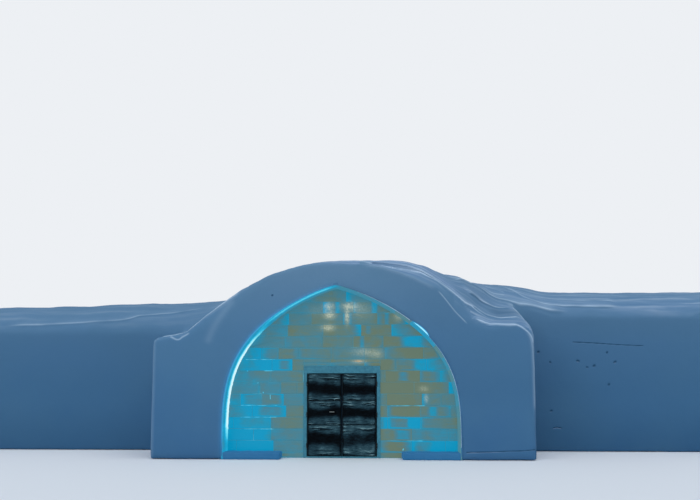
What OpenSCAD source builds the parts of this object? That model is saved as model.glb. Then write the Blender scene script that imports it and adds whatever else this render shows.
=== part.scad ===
// Packed-snow hall with a pointed arch portal, an ice-block front wall and a pair
// of hide-covered doors, between two lower wings that end at plain party walls.
// Millimetres. X runs along the front, Y runs from the front to the back, Z is up.
// The origin is on the ground, below the middle of the whole footprint.

/* [Portal] */
// Width of the portal's front face
portal_w = 10200; // [9600:50:11600]
// Thickness of the snow over the arch's point
crown_t = 600; // [450:10:900]
// How far the portal stands in front of the wings
portal_d = 2800; // [2000:50:3600]
// Height of the flat shoulder left of the arch
left_shoulder_h = 3260; // [3000:10:3500]
// Height of the flat shoulder right of the arch
right_shoulder_h = 3580; // [3200:10:3800]
// Span of the crown's parabola, larger for a flatter crown
crown_span = 9400; // [8600:50:11000]
// Radius of the portal's upright front corners
corner_r = 150; // [60:10:220]
// Radius of the shoulders' outer top edges
shoulder_r = 250; // [120:10:400]
// Depth of the sloped lip along the portal's front top edge
lip_d = 300; // [150:10:500]

/* [Drift] */
// Height of the wind drift on the right of the crown
drift_h = 150; // [0:10:250]
// Distance of the drift's top from the middle of the arch
drift_x = 2100; // [1600:50:2600]
// Depth of the scoured hollow between the drift and the right shoulder
hollow_d = 150; // [0:10:200]
// Distance of the hollow from the middle of the arch
hollow_x = 3420; // [3000:20:3800]
// Height of the hump that the wind piled behind the crown's front edge
hump_h = 190; // [0:10:300]
// Rise of the right shoulder from the portal's front to the wings
shoulder_rise = 900; // [300:20:1200]
// Swell of the roof's crest behind the right shoulder
lee_swell_h = 280; // [0:10:400]

/* [Hall] */
// Half the clear width of the arch at the ground
arch_half_w = 3130; // [2800:10:3400]
// Clear height of the arch at its point
arch_h = 4620; // [4300:10:4700]
// How far the arch's point leans to the left
apex_lean = 140; // [0:10:200]
// Height of the upright foot of the vaults
foot_h = 500; // [200:20:800]
// Height at which the walls end and the vaulted roofs begin
spring_h = 2000; // [1700:50:2200]
// Drop from the crown to the back wall's top behind it
back_crown_drop = 240; // [0:10:300]

/* [Wings] */
// Length of each wing beyond the portal
wing_l = 7200; // [4000:100:9000]
// Depth of the wings from their front to their back face
wing_d = 5700; // [5200:50:7000]
// Thickness of the wings' front and back walls at the ground
wall_t = 1000; // [800:20:1300]
// Thickness of the party walls
end_wall_t = 900; // [600:20:1200]
// Clear height of the gallery inside the wings
gallery_h = 3300; // [2900:10:3400]
// Height of the left wing's front edge
left_eaves_h = 3600; // [3500:10:3900]
// Height of the right wing's front edge
right_eaves_h = 4000; // [3700:10:4300]
// Height of the back edge of both wings
back_eaves_h = 3600; // [3500:10:3900]
// Drop from the crown to the roof's crest at the left party wall
left_crest_drop = 470; // [200:10:700]
// Drop from the crown to the roof's crest at the right party wall
right_crest_drop = 150; // [0:10:300]
// Distance of the crest behind the wings' front face
crest_run = 2000; // [1600:50:2500]

/* [Ice wall] */
// Distance of the ice wall behind the portal's front face
ice_setback = 550; // [300:10:900]
// Thickness of the ice blocks
ice_t = 300; // [200:10:400]
// Height of the packed-snow kerbs below the ice wall
kerb_h = 200; // [120:10:260]
// Distance of the kerbs' inner ends from the middle of the door
kerb_gap = 1600; // [1250:10:2000]

/* [Door frame] */
// Width of the jambs
jamb_w = 90; // [60:5:140]
// Height of the head
head_h = 200; // [80:5:250]
// Depth of the frame from front to back
frame_d = 240; // [160:10:280]
// How far the frame stands in front of the ice
frame_proud = 30; // [10:5:60]
// Height of the threshold
threshold_h = 40; // [20:5:60]

/* [Doors] */
// Width of one leaf
leaf_w = 930; // [800:10:1000]
// Height of the leaves
leaf_h = 2215; // [2050:5:2300]
// Thickness of the boards of a leaf
leaf_t = 60; // [45:5:75]
// Gap between the two leaves
meeting_gap = 18; // [18:1:30]
// Gap between a leaf and its jamb
side_gap = 12; // [12:1:16]
// Gap above and below the leaves
end_gap = 12; // [8:1:20]
// Height of a ledge on the leaves' inner face
ledge_h = 130; // [90:5:160]
// Thickness of a ledge
ledge_t = 30; // [20:5:40]

/* [Hides] */
// Thickness of a hide with its fur
hide_t = 45; // [30:5:60]
// Radius of a hide's corners
hide_r = 40; // [20:5:60]
// Height of the lower seam above the ground
lower_seam_h = 886; // [760:2:960]
// Height of the upper seam above the ground
upper_seam_h = 1537; // [1440:1:1640]
// Gap between two hides
seam_gap = 4; // [3:1:8]
// Border of bare timber round the hides
hide_border = 12; // [8:1:30]

/* [Hinges] */
// Outer radius of a hinge knuckle
knuckle_r = 16; // [14:1:20]
// Height of a knuckle
knuckle_h = 40; // [30:2:60]
// Gap between two knuckles along the pin
knuckle_gap = 5; // [5:1:8]
// Radius of the hinge pins
pin_r = 8; // [6:0.5:10]
// Clearance round a pin in its turning knuckle
pin_clearance = 0.08; // [0.02:0.01:0.1]
// Thickness of the hinge plates
plate_t = 3; // [2:0.5:3]
// Distance of the end hinges from the ends of a leaf
hinge_inset = 280; // [200:10:400]

/* [Handles] */
// Length of a pull bar
handle_l = 140; // [110:5:200]
// Radius of a pull bar
handle_r = 11; // [8:1:14]
// Radius of a bar's posts
post_r = 8; // [6:1:10]
// Clear space behind a pull bar
handle_reach = 40; // [30:2:60]
// Height of the outer pull above the ground
handle_z = 1235; // [1050:5:1350]
// Distance of the pulls from the leaf's free edge
handle_inset = 250; // [150:5:350]

/* [Hidden] */
$fn = 32;

// Lines of the plan
half_w = portal_w / 2;
end_x = half_w + wing_l;
depth = portal_d + wing_d;
portal_h = arch_h + crown_t;
front_y = -depth / 2;
face_y = front_y + portal_d;
back_y = depth / 2;
crest_y = face_y + crest_run;
gallery_y = face_y + wing_d / 2;
gallery_half_w = wing_d / 2 - wall_t;
inner_back_y = back_y - wall_t;
crown_half_w = 1500;
haunch_run = 2600;
ice_y = front_y + ice_setback;

// Shape of the pointed vaults and of the drift
arch_steps = 14;
arch_power = 3.05;
side_power = 0.85;
lean_power = 2.5;
step_power = 0.7;
drift_spread = 1100;
hollow_spread = 260;
lip_thin = 60;
lip_thick = 340;
lip_x = 3200;
lip_spread = 700;
eaves_power = 2.4;
eaves_root = 0.7;
rise_start_x = -9000;
rise_run = 10000;
swell_h = 70;
swell_x = 1500;
swell_spread = 2500;
left_swell_h = 90;
left_swell_x = 7400;
left_swell_spread = 900;

// Lines that the wind drew the snow along, right of the crown: the ridge where the
// slope starts and the foot where it ends, at the portal's front and at the wings
ridge_front_x = 720;
ridge_back_x = half_w - 1850;
ridge_bend = 1.2;
foot_front_x = half_w - 1450;
foot_back_x = half_w - 450;
hump_x = 1000;
hump_spread = 1500;
hump_share = 0.17;
lee_swell_x = half_w - 450;
lee_swell_spread = 1350;
lee_fade = 1400;
haunch_steps = 11;
portal_steps = 6;
cut = 20;
tall = 2 * portal_h;

// Lines of the doorway
frame_y = ice_y - frame_proud;
leaf_z = threshold_h + end_gap;
leaf_top = leaf_z + leaf_h;
head_z = leaf_top + end_gap;
frame_top = head_z + head_h;
clear_half_w = leaf_w + meeting_gap / 2 + side_gap;
frame_half_w = clear_half_w + jamb_w;
free_x = meeting_gap / 2;
axis_x = clear_half_w - side_gap / 2;
axis_y = frame_y - knuckle_r;
plate_d = leaf_t;
hide_outer_x = axis_x - knuckle_r - hide_border;
hide_inner_x = free_x + hide_border;
hinge_heights = [leaf_z + hinge_inset, leaf_z + leaf_h / 2, leaf_top - hinge_inset];
handle_x = free_x + handle_inset;
post_spread = handle_l / 2 - 20;
handle_y = hide_t + handle_reach + handle_r;

snow = [0.72, 0.82, 0.92];
shade_snow = [0.6, 0.72, 0.84];
ice = [0.3, 0.75, 0.85, 0.8];
timber = [0.55, 0.62, 0.6];
fur = [0.12, 0.14, 0.15];
iron = [0.25, 0.26, 0.27];
horn = [0.8, 0.78, 0.7];

function smooth(t) = let (u = min(1, max(0, t))) u * u * (3 - 2 * u);
function mix(a, b, t) = a + (b - a) * smooth(t);
function mix_even(a, b, t) = a + (b - a) * t;
function bell(d, spread) = exp(-pow(d / spread, 2));
function eaves_curve(t) = pow(1 - pow(1 - t, eaves_power), eaves_root);

// The pointed vault: upright at its foot, then a half width for each height
function arch_x(z, w, h) = w * pow(1 - pow((z - foot_h) / (h - foot_h), arch_power), side_power);
function arch_z(i, h) = foot_h + (h - foot_h) * pow(i / arch_steps, step_power);
function arch_side(w, h) = [for (i = [0 : arch_steps]) let (z = arch_z(i, h)) [arch_x(z, w, h), z]];
function arch_lean(z, h, lean) = lean * pow((z - foot_h) / (h - foot_h), lean_power);
function arch_outline(w, h, lean = 0) = let (side = arch_side(w, h)) concat([[w, 0]],
    [for (p = side) [p[0] - arch_lean(p[1], h, lean), p[1]]],
    [for (i = [arch_steps - 1 : -1 : 0]) let (p = side[i]) [-p[0] - arch_lean(p[1], h, lean), p[1]]],
    [[-w, 0]]);

// The snow's skylines, each a height over x: along the portal's front, along the
// wings' front face, along the crest and along the back
function outer_round(x) = let (d = max(0, abs(x) - (half_w - shoulder_r)) / shoulder_r)
    shoulder_r * (1 - sqrt(max(0, 1 - d * d)));
function crown_line(x) = portal_h - x * x / crown_span;
function drift_line(x) = drift_h * bell(x - drift_x, drift_spread)
    - hollow_d * bell(x - hollow_x, hollow_spread);
function front_line(x) = x < 0
    ? max(left_shoulder_h, crown_line(x))
    : max(right_shoulder_h, crown_line(x) + drift_line(x));
function crest_line(x) = portal_h - mix(left_crest_drop, right_crest_drop, (x - rise_start_x) / rise_run)
    + swell_h * bell(x - swell_x, swell_spread)
    + left_swell_h * bell(x + left_swell_x, left_swell_spread)
    + lee_swell_h * bell(x - lee_swell_x, lee_swell_spread);
function hall_share(x) = (half_w - abs(x)) / haunch_run;
function eaves_line(x) = x < 0 ? mix(left_eaves_h, crest_line(x), hall_share(x))
    : x < half_w ? lee_top(x, 1)
    : mix(right_eaves_h, lee_top(half_w, 1), 1 - (x - half_w) / lee_fade);
function back_line(x) = mix(back_eaves_h, portal_h - back_crown_drop, hall_share(x));

// The lip that the portal's front edge slopes back over
function lip(x, y) = let (s = min(1, (y - front_y) / lip_d))
    (lip_thin + lip_thick * bell(abs(x) - lip_x, lip_spread)) * (1 - sqrt(1 - pow(1 - s, 2)));

// The place on the portal's front that the wind's lines lead back from, for a place at
// the share t of the portal's depth
function flow_x(x, t) = let (
        ridge = mix_even(ridge_front_x, ridge_back_x, 1 - pow(1 - t, ridge_bend)),
        foot = mix_even(foot_front_x, foot_back_x, t))
    x < 0 ? x
    : x < ridge ? x * ridge_front_x / ridge
    : x < foot ? mix_even(ridge_front_x, foot_front_x, (x - ridge) / (foot - ridge))
    : mix_even(foot_front_x, half_w, (x - foot) / (half_w - foot));
function hump(x, t) = hump_h * bell(flow_x(x, t) - hump_x, hump_spread)
    * smooth(t / hump_share) * (1 - smooth((t - hump_share) / (1 - hump_share)));

// The snow right of the crown: the front's skyline, carried back along the wind's
// lines, while the shoulder rises and the crown goes over to the crest
function lee_top(x, t) = let (
        z = front_line(flow_x(x, t)),
        high = min(1, max(0, (z - right_shoulder_h) / (portal_h - right_shoulder_h))))
    z + shoulder_rise * t * (1 - high) + (crest_line(x) - portal_h) * t * high;

// Height of the snow at any place of the plan
function portal_share(y) = (y - front_y) / portal_d;
function portal_top(x, y) = let (t = portal_share(y))
    (x < 0 ? mix_even(front_line(x), eaves_line(x), t) : lee_top(x, t))
    + hump(x, t) - outer_round(x) * (1 - t) - lip(x, y);
function front_top(x, y) = eaves_line(x)
    + (crest_line(x) - eaves_line(x)) * eaves_curve((y - face_y) / crest_run);
function back_top(x, y) = back_line(x)
    + (crest_line(x) - back_line(x)) * eaves_curve(max(0, back_y - y) / (back_y - crest_y));
function snow_top(x, y) = y < face_y ? portal_top(x, y)
    : y < crest_y ? front_top(x, y) : back_top(x, y);

// Lines of the grid that the snow's surface is drawn over
function wing_xs() = [for (i = [0 : 5]) half_w + (wing_l - end_wall_t) * i / 5];
function party_xs() = [end_x - end_wall_t, end_x];
function haunch_xs() = concat(
    [for (i = [0 : haunch_steps]) mix_even(crown_half_w, half_w - shoulder_r, i / haunch_steps)],
    [for (s = [0.5, 0.15, 0]) half_w - shoulder_r * s]);
function crown_xs() = [for (i = [-4 : 4]) crown_half_w * i / 4];
function lip_ys() = [for (s = [0, 0.12, 0.4, 1]) front_y + lip_d * s];
function portal_ys() = concat(lip_ys(),
    [for (i = [1 : portal_steps]) front_y + lip_d + (portal_d - lip_d) * i / portal_steps]);
function front_ys() = concat([for (s = [0, 0.03, 0.12, 0.3, 0.6, 1]) face_y + crest_run * s], [gallery_y]);
function middle_back_y() = (gallery_y + inner_back_y) / 2;
function back_ys() = [gallery_y, middle_back_y(), inner_back_y];
function wing_back_ys() = concat([gallery_y, middle_back_y()], back_edge_ys());
function back_edge_ys() = [for (s = [1, 0.6, 0.3, 0.1, 0]) back_y - wall_t * s];

// The same lines on the other side of the arch, in rising order
function mirrored(xs) = [for (i = [len(xs) - 1 : -1 : 0]) -xs[i]];
function on_side(side, xs) = side < 0 ? mirrored(xs) : xs;

// A block of snow over a grid of the plan: flat below, the drifted surface above
module snow_block(xs, ys, z0) {
    nx = len(xs);
    ny = len(ys);
    top = [for (x = xs, y = ys) [x, y, snow_top(x, y)]];
    bottom = [for (x = xs, y = ys) [x, y, z0]];
    n = nx * ny;
    function at(i, j) = i * ny + j;
    function cell(a, b, c, d) = [[a, b, c], [a, c, d]];
    faces = [
        for (i = [0 : nx - 2], j = [0 : ny - 2])
            each cell(at(i, j), at(i, j + 1), at(i + 1, j + 1), at(i + 1, j)),
        for (i = [0 : nx - 2], j = [0 : ny - 2])
            each cell(n + at(i, j), n + at(i + 1, j), n + at(i + 1, j + 1), n + at(i, j + 1)),
        for (i = [0 : nx - 2])
            each cell(at(i, 0), at(i + 1, 0), n + at(i + 1, 0), n + at(i, 0)),
        for (i = [0 : nx - 2])
            each cell(at(i + 1, ny - 1), at(i, ny - 1), n + at(i, ny - 1), n + at(i + 1, ny - 1)),
        for (j = [0 : ny - 2])
            each cell(at(0, j + 1), at(0, j), n + at(0, j), n + at(0, j + 1)),
        for (j = [0 : ny - 2])
            each cell(at(nx - 1, j), at(nx - 1, j + 1), n + at(nx - 1, j + 1), n + at(nx - 1, j))
    ];
    polyhedron(points = concat(top, bottom), faces = faces, convexity = 6);
}

// The clear space of the hall, from the portal's front to the back wall
module hall_space(y0 = front_y - cut, y1 = inner_back_y) {
    translate([0, y1, 0]) rotate([90, 0, 0])
        linear_extrude(y1 - y0) polygon(arch_outline(arch_half_w, arch_h, apex_lean));
}

// The clear space of the gallery that crosses the hall and runs through the wings
module gallery_space() {
    inner_end_x = end_x - end_wall_t;
    translate([-inner_end_x, gallery_y, 0]) rotate([90, 0, 90])
        linear_extrude(2 * inner_end_x) polygon(arch_outline(gallery_half_w, gallery_h));
}

// A hall or gallery cut has to run past the ground, so its foot is drawn lower
module below(h = cut) {
    children();
    translate([0, 0, -h]) children();
}

// What is rounded off an upright front corner of the portal
module corner_waste(side) {
    translate([side * (half_w - corner_r), front_y + corner_r, -cut]) difference() {
        translate([side < 0 ? -corner_r - cut : 0, -corner_r - cut, 0])
            cube([corner_r + cut, corner_r + cut, tall]);
        cylinder(r = corner_r, h = tall, $fn = 48);
    }
}

// An upright block between two lines of the plan on one side of the hall
module side_block(side, x0, x1, y0, y1, z0, z1) {
    translate([side < 0 ? -x1 : x0, y0, z0]) cube([x1 - x0, y1 - y0, z1 - z0]);
}

module portal_pier(side) {
    color(snow) difference() {
        side_block(side, crown_half_w, half_w, front_y, gallery_y, 0, spring_h);
        below() hall_space();
        below() gallery_space();
        corner_waste(side);
    }
}

module portal_haunch(side) {
    color(snow) difference() {
        snow_block(on_side(side, haunch_xs()), portal_ys(), spring_h);
        hall_space();
        corner_waste(side);
    }
}

module portal_crown() {
    color(snow) difference() {
        snow_block(crown_xs(), portal_ys(), spring_h);
        hall_space();
    }
}

module hall_roof(side, ys) {
    color(shade_snow) difference() {
        snow_block(on_side(side, haunch_xs()), ys, spring_h);
        hall_space();
        gallery_space();
    }
}

module hall_crown() {
    color(shade_snow) difference() {
        snow_block(crown_xs(), concat(front_ys(), [middle_back_y(), inner_back_y]), spring_h);
        hall_space(y1 = inner_back_y + cut);
    }
}

// The hall's back wall, with the feet of the gallery's vault beside the hall
module hall_back_wall() {
    xs = concat(mirrored(haunch_xs()), [for (i = [-3 : 3]) crown_half_w * i / 4], haunch_xs());
    color(shade_snow) {
        snow_block(xs, back_edge_ys(), 0);
        for (side = [-1, 1]) difference() {
            side_block(side, crown_half_w, half_w, gallery_y, inner_back_y, 0, spring_h);
            below() hall_space(y1 = inner_back_y + cut);
            below() gallery_space();
        }
    }
}

module wing_wall(side, y0, y1) {
    color(snow) difference() {
        side_block(side, half_w, end_x - end_wall_t, y0, y1, 0, spring_h);
        below() gallery_space();
    }
}

module wing_roof(side, ys) {
    color(snow) difference() {
        snow_block(on_side(side, wing_xs()), ys, spring_h);
        gallery_space();
    }
}

module party_wall(side) {
    ys = concat(front_ys(), [middle_back_y()], back_edge_ys());
    color(shade_snow) snow_block(on_side(side, party_xs()), ys, 0);
}

module ice_slab(x0, x1, z0) {
    color(ice) intersection() {
        hall_space(ice_y, ice_y + ice_t);
        translate([x0, ice_y - cut, z0]) cube([x1 - x0, ice_t + 2 * cut, tall]);
    }
}

module kerb(side) {
    color(snow) intersection() {
        hall_space(front_y, ice_y);
        side_block(side, kerb_gap, half_w, front_y - cut, ice_y + cut, 0, kerb_h);
    }
}

module jamb(side) {
    color(timber) side_block(side, clear_half_w, frame_half_w, frame_y, frame_y + frame_d, 0, head_z);
}

module door_head() {
    color(timber) translate([-frame_half_w, frame_y, head_z]) cube([2 * frame_half_w, frame_d, head_h]);
}

module threshold() {
    color(timber) translate([-clear_half_w, frame_y, 0]) cube([2 * clear_half_w, frame_d, threshold_h]);
}

// A leaf of boards with three ledges across its inner face
module door_leaf(side) {
    color(timber) {
        side_block(side, free_x, free_x + leaf_w, frame_y, frame_y + leaf_t, leaf_z, leaf_top);
        for (z = hinge_heights)
            side_block(side, free_x + 40, free_x + leaf_w - 40, frame_y + leaf_t - 1,
                frame_y + leaf_t + ledge_t, z - ledge_h / 2, z + ledge_h / 2);
    }
}

// A hide, seen from the front: a plate with round corners
module hide(side, z0, z1) {
    w = hide_outer_x - hide_inner_x;
    h = z1 - z0;
    color(fur) translate([side < 0 ? -hide_outer_x : hide_inner_x, frame_y, z0]) rotate([90, 0, 0])
        linear_extrude(hide_t) union() {
            translate([hide_r, 0]) square([w - 2 * hide_r, h]);
            translate([0, hide_r]) square([w, h - 2 * hide_r]);
            for (x = [hide_r, w - hide_r], z = [hide_r, h - hide_r]) translate([x, z]) circle(r = hide_r);
        }
}

module top_hide(side) {
    hide(side, upper_seam_h + seam_gap / 2, leaf_top - hide_border);
}

module middle_hide(side) {
    hide(side, lower_seam_h + seam_gap / 2, upper_seam_h - seam_gap / 2);
}

module bottom_hide(side) {
    hide(side, leaf_z + hide_border, lower_seam_h - seam_gap / 2);
}

module hide_with_post_holes() {
    color(fur) difference() {
        middle_hide(-1);
        for (x = [-post_spread, post_spread])
            translate([-handle_x + x, frame_y + 1, handle_z]) rotate([90, 0, 0])
                cylinder(r = post_r + 1, h = hide_t + 2);
    }
}

// The fixed half of the hinges: two knuckles on a plate, with the pin in them
module jamb_hinges(side) {
    color(iron) for (z = hinge_heights) {
        for (s = [-1, 1]) {
            z0 = z + s * (knuckle_h + knuckle_gap) - knuckle_h / 2;
            translate([side * axis_x, axis_y, z0]) cylinder(r = knuckle_r, h = knuckle_h);
            side_block(side, clear_half_w - plate_t, clear_half_w,
                axis_y, frame_y + plate_d, z0, z0 + knuckle_h);
        }
        translate([side * axis_x, axis_y, z - 1.5 * knuckle_h - knuckle_gap])
            cylinder(r = pin_r, h = 3 * knuckle_h + 2 * knuckle_gap);
    }
}

// The turning half of the hinges: one bored knuckle on a plate
module leaf_hinges(side) {
    color(iron) for (z = hinge_heights) difference() {
        union() {
            translate([side * axis_x, axis_y, z - knuckle_h / 2]) cylinder(r = knuckle_r, h = knuckle_h);
            side_block(side, clear_half_w - side_gap, clear_half_w - side_gap + plate_t,
                axis_y, frame_y + plate_d, z - knuckle_h / 2, z + knuckle_h / 2);
        }
        translate([side * axis_x, axis_y, z - knuckle_h])
            cylinder(r = pin_r + pin_clearance, h = 2 * knuckle_h);
    }
}

// A pull bar on two posts, standing on the plane y = 0 and reaching towards -Y
module pull(reach) {
    color(horn) {
        for (x = [-post_spread, post_spread])
            translate([x, 0, 0]) rotate([90, 0, 0]) cylinder(r = post_r, h = reach);
        translate([-handle_l / 2, -reach, 0]) rotate([0, 90, 0]) cylinder(r = handle_r, h = handle_l);
    }
}

module outer_pull() {
    translate([-handle_x, frame_y, handle_z]) pull(handle_y);
}

module inner_pull() {
    translate([-handle_x, frame_y + leaf_t + ledge_t, hinge_heights[1]]) mirror([0, 1, 0])
        pull(handle_reach + handle_r);
}

portal_pier(-1);  // portal_left_pier
portal_pier(1);  // portal_right_pier
portal_haunch(-1);  // portal_left_haunch
portal_haunch(1);  // portal_right_haunch
portal_crown();
hall_roof(-1, front_ys());  // hall_left_roof_front
hall_roof(-1, back_ys());  // hall_left_roof_back
hall_roof(1, front_ys());  // hall_right_roof_front
hall_roof(1, back_ys());  // hall_right_roof_back
hall_crown();
hall_back_wall();
wing_wall(-1, face_y, gallery_y);  // left_wing_front_wall
wing_wall(-1, gallery_y, back_y);  // left_wing_back_wall
party_wall(-1);  // left_party_wall
wing_roof(-1, front_ys());  // left_wing_roof_front
wing_roof(-1, wing_back_ys());  // left_wing_roof_back
wing_wall(1, face_y, gallery_y);  // right_wing_front_wall
wing_wall(1, gallery_y, back_y);  // right_wing_back_wall
party_wall(1);  // right_party_wall
wing_roof(1, front_ys());  // right_wing_roof_front
wing_roof(1, wing_back_ys());  // right_wing_roof_back
ice_slab(-arch_half_w - cut, -frame_half_w, 0);  // left_ice_wall
ice_slab(frame_half_w, arch_half_w + cut, 0);  // right_ice_wall
ice_slab(-frame_half_w, frame_half_w, frame_top);  // upper_ice_wall
kerb(-1);  // left_kerb
kerb(1);  // right_kerb
jamb(-1);  // left_jamb
jamb(1);  // right_jamb
door_head();
threshold();
jamb_hinges(-1);  // left_jamb_hinges
jamb_hinges(1);  // right_jamb_hinges
door_leaf(-1);  // left_door_leaf
leaf_hinges(-1);  // left_leaf_hinges
top_hide(-1);  // left_top_hide
hide_with_post_holes();  // left_middle_hide
bottom_hide(-1);  // left_bottom_hide
outer_pull();
inner_pull();
door_leaf(1);  // right_door_leaf
leaf_hinges(1);  // right_leaf_hinges
top_hide(1);  // right_top_hide
middle_hide(1);  // right_middle_hide
bottom_hide(1);  // right_bottom_hide
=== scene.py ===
# A packed-snow hall with a pointed portal, an ice-block wall and hide-covered doors,
# dressed over its packed construction model. Metres: X runs along the front, Y from
# the front to the back, Z up.
import math
import random

import bmesh
import bpy
import numpy as np
from mathutils import Matrix, Vector, noise


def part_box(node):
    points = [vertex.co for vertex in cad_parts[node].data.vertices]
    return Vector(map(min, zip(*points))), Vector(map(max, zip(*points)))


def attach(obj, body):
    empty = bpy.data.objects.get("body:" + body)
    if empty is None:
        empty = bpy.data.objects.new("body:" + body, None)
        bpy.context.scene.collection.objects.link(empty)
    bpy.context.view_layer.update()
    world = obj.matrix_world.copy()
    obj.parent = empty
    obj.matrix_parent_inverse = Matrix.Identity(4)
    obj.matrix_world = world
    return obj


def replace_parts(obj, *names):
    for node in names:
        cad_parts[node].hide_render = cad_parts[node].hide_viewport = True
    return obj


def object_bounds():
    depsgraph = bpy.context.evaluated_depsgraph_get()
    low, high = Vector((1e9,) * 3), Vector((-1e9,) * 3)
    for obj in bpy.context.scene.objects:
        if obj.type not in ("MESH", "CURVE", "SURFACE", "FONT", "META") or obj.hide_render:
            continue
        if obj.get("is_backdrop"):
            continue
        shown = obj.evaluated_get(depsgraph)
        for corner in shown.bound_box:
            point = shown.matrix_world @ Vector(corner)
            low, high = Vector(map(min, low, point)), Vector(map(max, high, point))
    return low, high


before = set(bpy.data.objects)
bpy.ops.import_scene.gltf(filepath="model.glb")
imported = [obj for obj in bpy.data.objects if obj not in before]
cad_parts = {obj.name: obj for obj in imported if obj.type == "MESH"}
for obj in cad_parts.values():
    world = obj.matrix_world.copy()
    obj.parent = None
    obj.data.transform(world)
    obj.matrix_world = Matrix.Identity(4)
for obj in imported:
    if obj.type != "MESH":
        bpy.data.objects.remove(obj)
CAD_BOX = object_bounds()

# Unseeded, the vector noise takes its offset from the clock
noise.seed_set(5)

# Lines of the building, read from the frame
PIER_LOW, PIER_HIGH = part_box("portal_right_pier")
HALF_W = PIER_HIGH.x
FRONT_Y = PIER_LOW.y
FACE_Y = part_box("right_wing_front_wall")[0].y
BACK_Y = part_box("hall_back_wall")[1].y
END_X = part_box("right_party_wall")[1].x
ICE_LOW, ICE_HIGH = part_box("left_ice_wall")
ICE_Y = ICE_LOW.y
ICE_T = ICE_HIGH.y - ICE_LOW.y
ARCH_HALF_W = -ICE_LOW.x
ARCH_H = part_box("upper_ice_wall")[1].z
HEAD_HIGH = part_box("door_head")[1]
FRAME_HALF_W = HEAD_HIGH.x
FRAME_TOP = HEAD_HIGH.z

# Shape of the pointed arch, the depth of the lip over it and the shape of the portal's crown,
# as in the construction model
FOOT_H = 0.5
ARCH_POWER = 3.05
SIDE_POWER = 0.85
APEX_LEAN = 0.14
LEAN_POWER = 2.5
LIP_D = 0.3
CROWN_H = 5.22
CROWN_SPAN = 9.4

SNOW_NODES = {
    "snow_portal": ["portal_left_pier", "portal_right_pier", "portal_left_haunch",
                    "portal_right_haunch", "portal_crown"],
    "snow_hall": ["hall_left_roof_front", "hall_left_roof_back", "hall_right_roof_front",
                  "hall_right_roof_back", "hall_crown", "hall_back_wall"],
    "snow_left_wing": ["left_wing_front_wall", "left_wing_back_wall", "left_party_wall",
                       "left_wing_roof_front", "left_wing_roof_back"],
    "snow_right_wing": ["right_wing_front_wall", "right_wing_back_wall", "right_party_wall",
                        "right_wing_roof_front", "right_wing_roof_back"],
}


# What the ice blocks' material reads from their vertices
BLOCK_ATTRIBUTES = ("tint", "lamp", "amber", "edge")


# Materials

def linear(hex_colour):
    """A colour written as sRGB hex, as the linear values that a node takes"""
    channels = [int(hex_colour[i:i + 2], 16) / 255 for i in (1, 3, 5)]
    return [c / 12.92 if c <= 0.04045 else ((c + 0.055) / 1.055) ** 2.4 for c in channels] + [1.0]


def feed(node, inputs):
    """Gives a node its inputs, each a value or the socket to link from"""
    for place, value in inputs.items():
        if isinstance(value, bpy.types.NodeSocket):
            node.id_data.links.new(value, node.inputs[place])
        else:
            node.inputs[place].default_value = value


def add(tree, kind, inputs=None, stops=None, **settings):
    """Adds a node. Settings are its own properties, inputs are values or the sockets to link
    from, and stops are the places and colours of a colour ramp"""
    made = tree.nodes.new("ShaderNode" + kind)
    for name, value in settings.items():
        setattr(made, name, value)
    feed(made, inputs or {})
    for i, (place, colour) in enumerate(stops or []):
        elements = made.color_ramp.elements
        element = elements[i] if i < len(elements) else elements.new(place)
        element.position = place
        element.color = linear(colour)
    return made


def new_material(name):
    """An empty node material, with its tree and its Principled shader on the output"""
    material = bpy.data.materials.new(name)
    material.use_nodes = True
    tree = material.node_tree
    tree.nodes.clear()
    shader = add(tree, "BsdfPrincipled")
    add(tree, "OutputMaterial", {"Surface": shader.outputs[0]})
    return material, tree, shader


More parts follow.
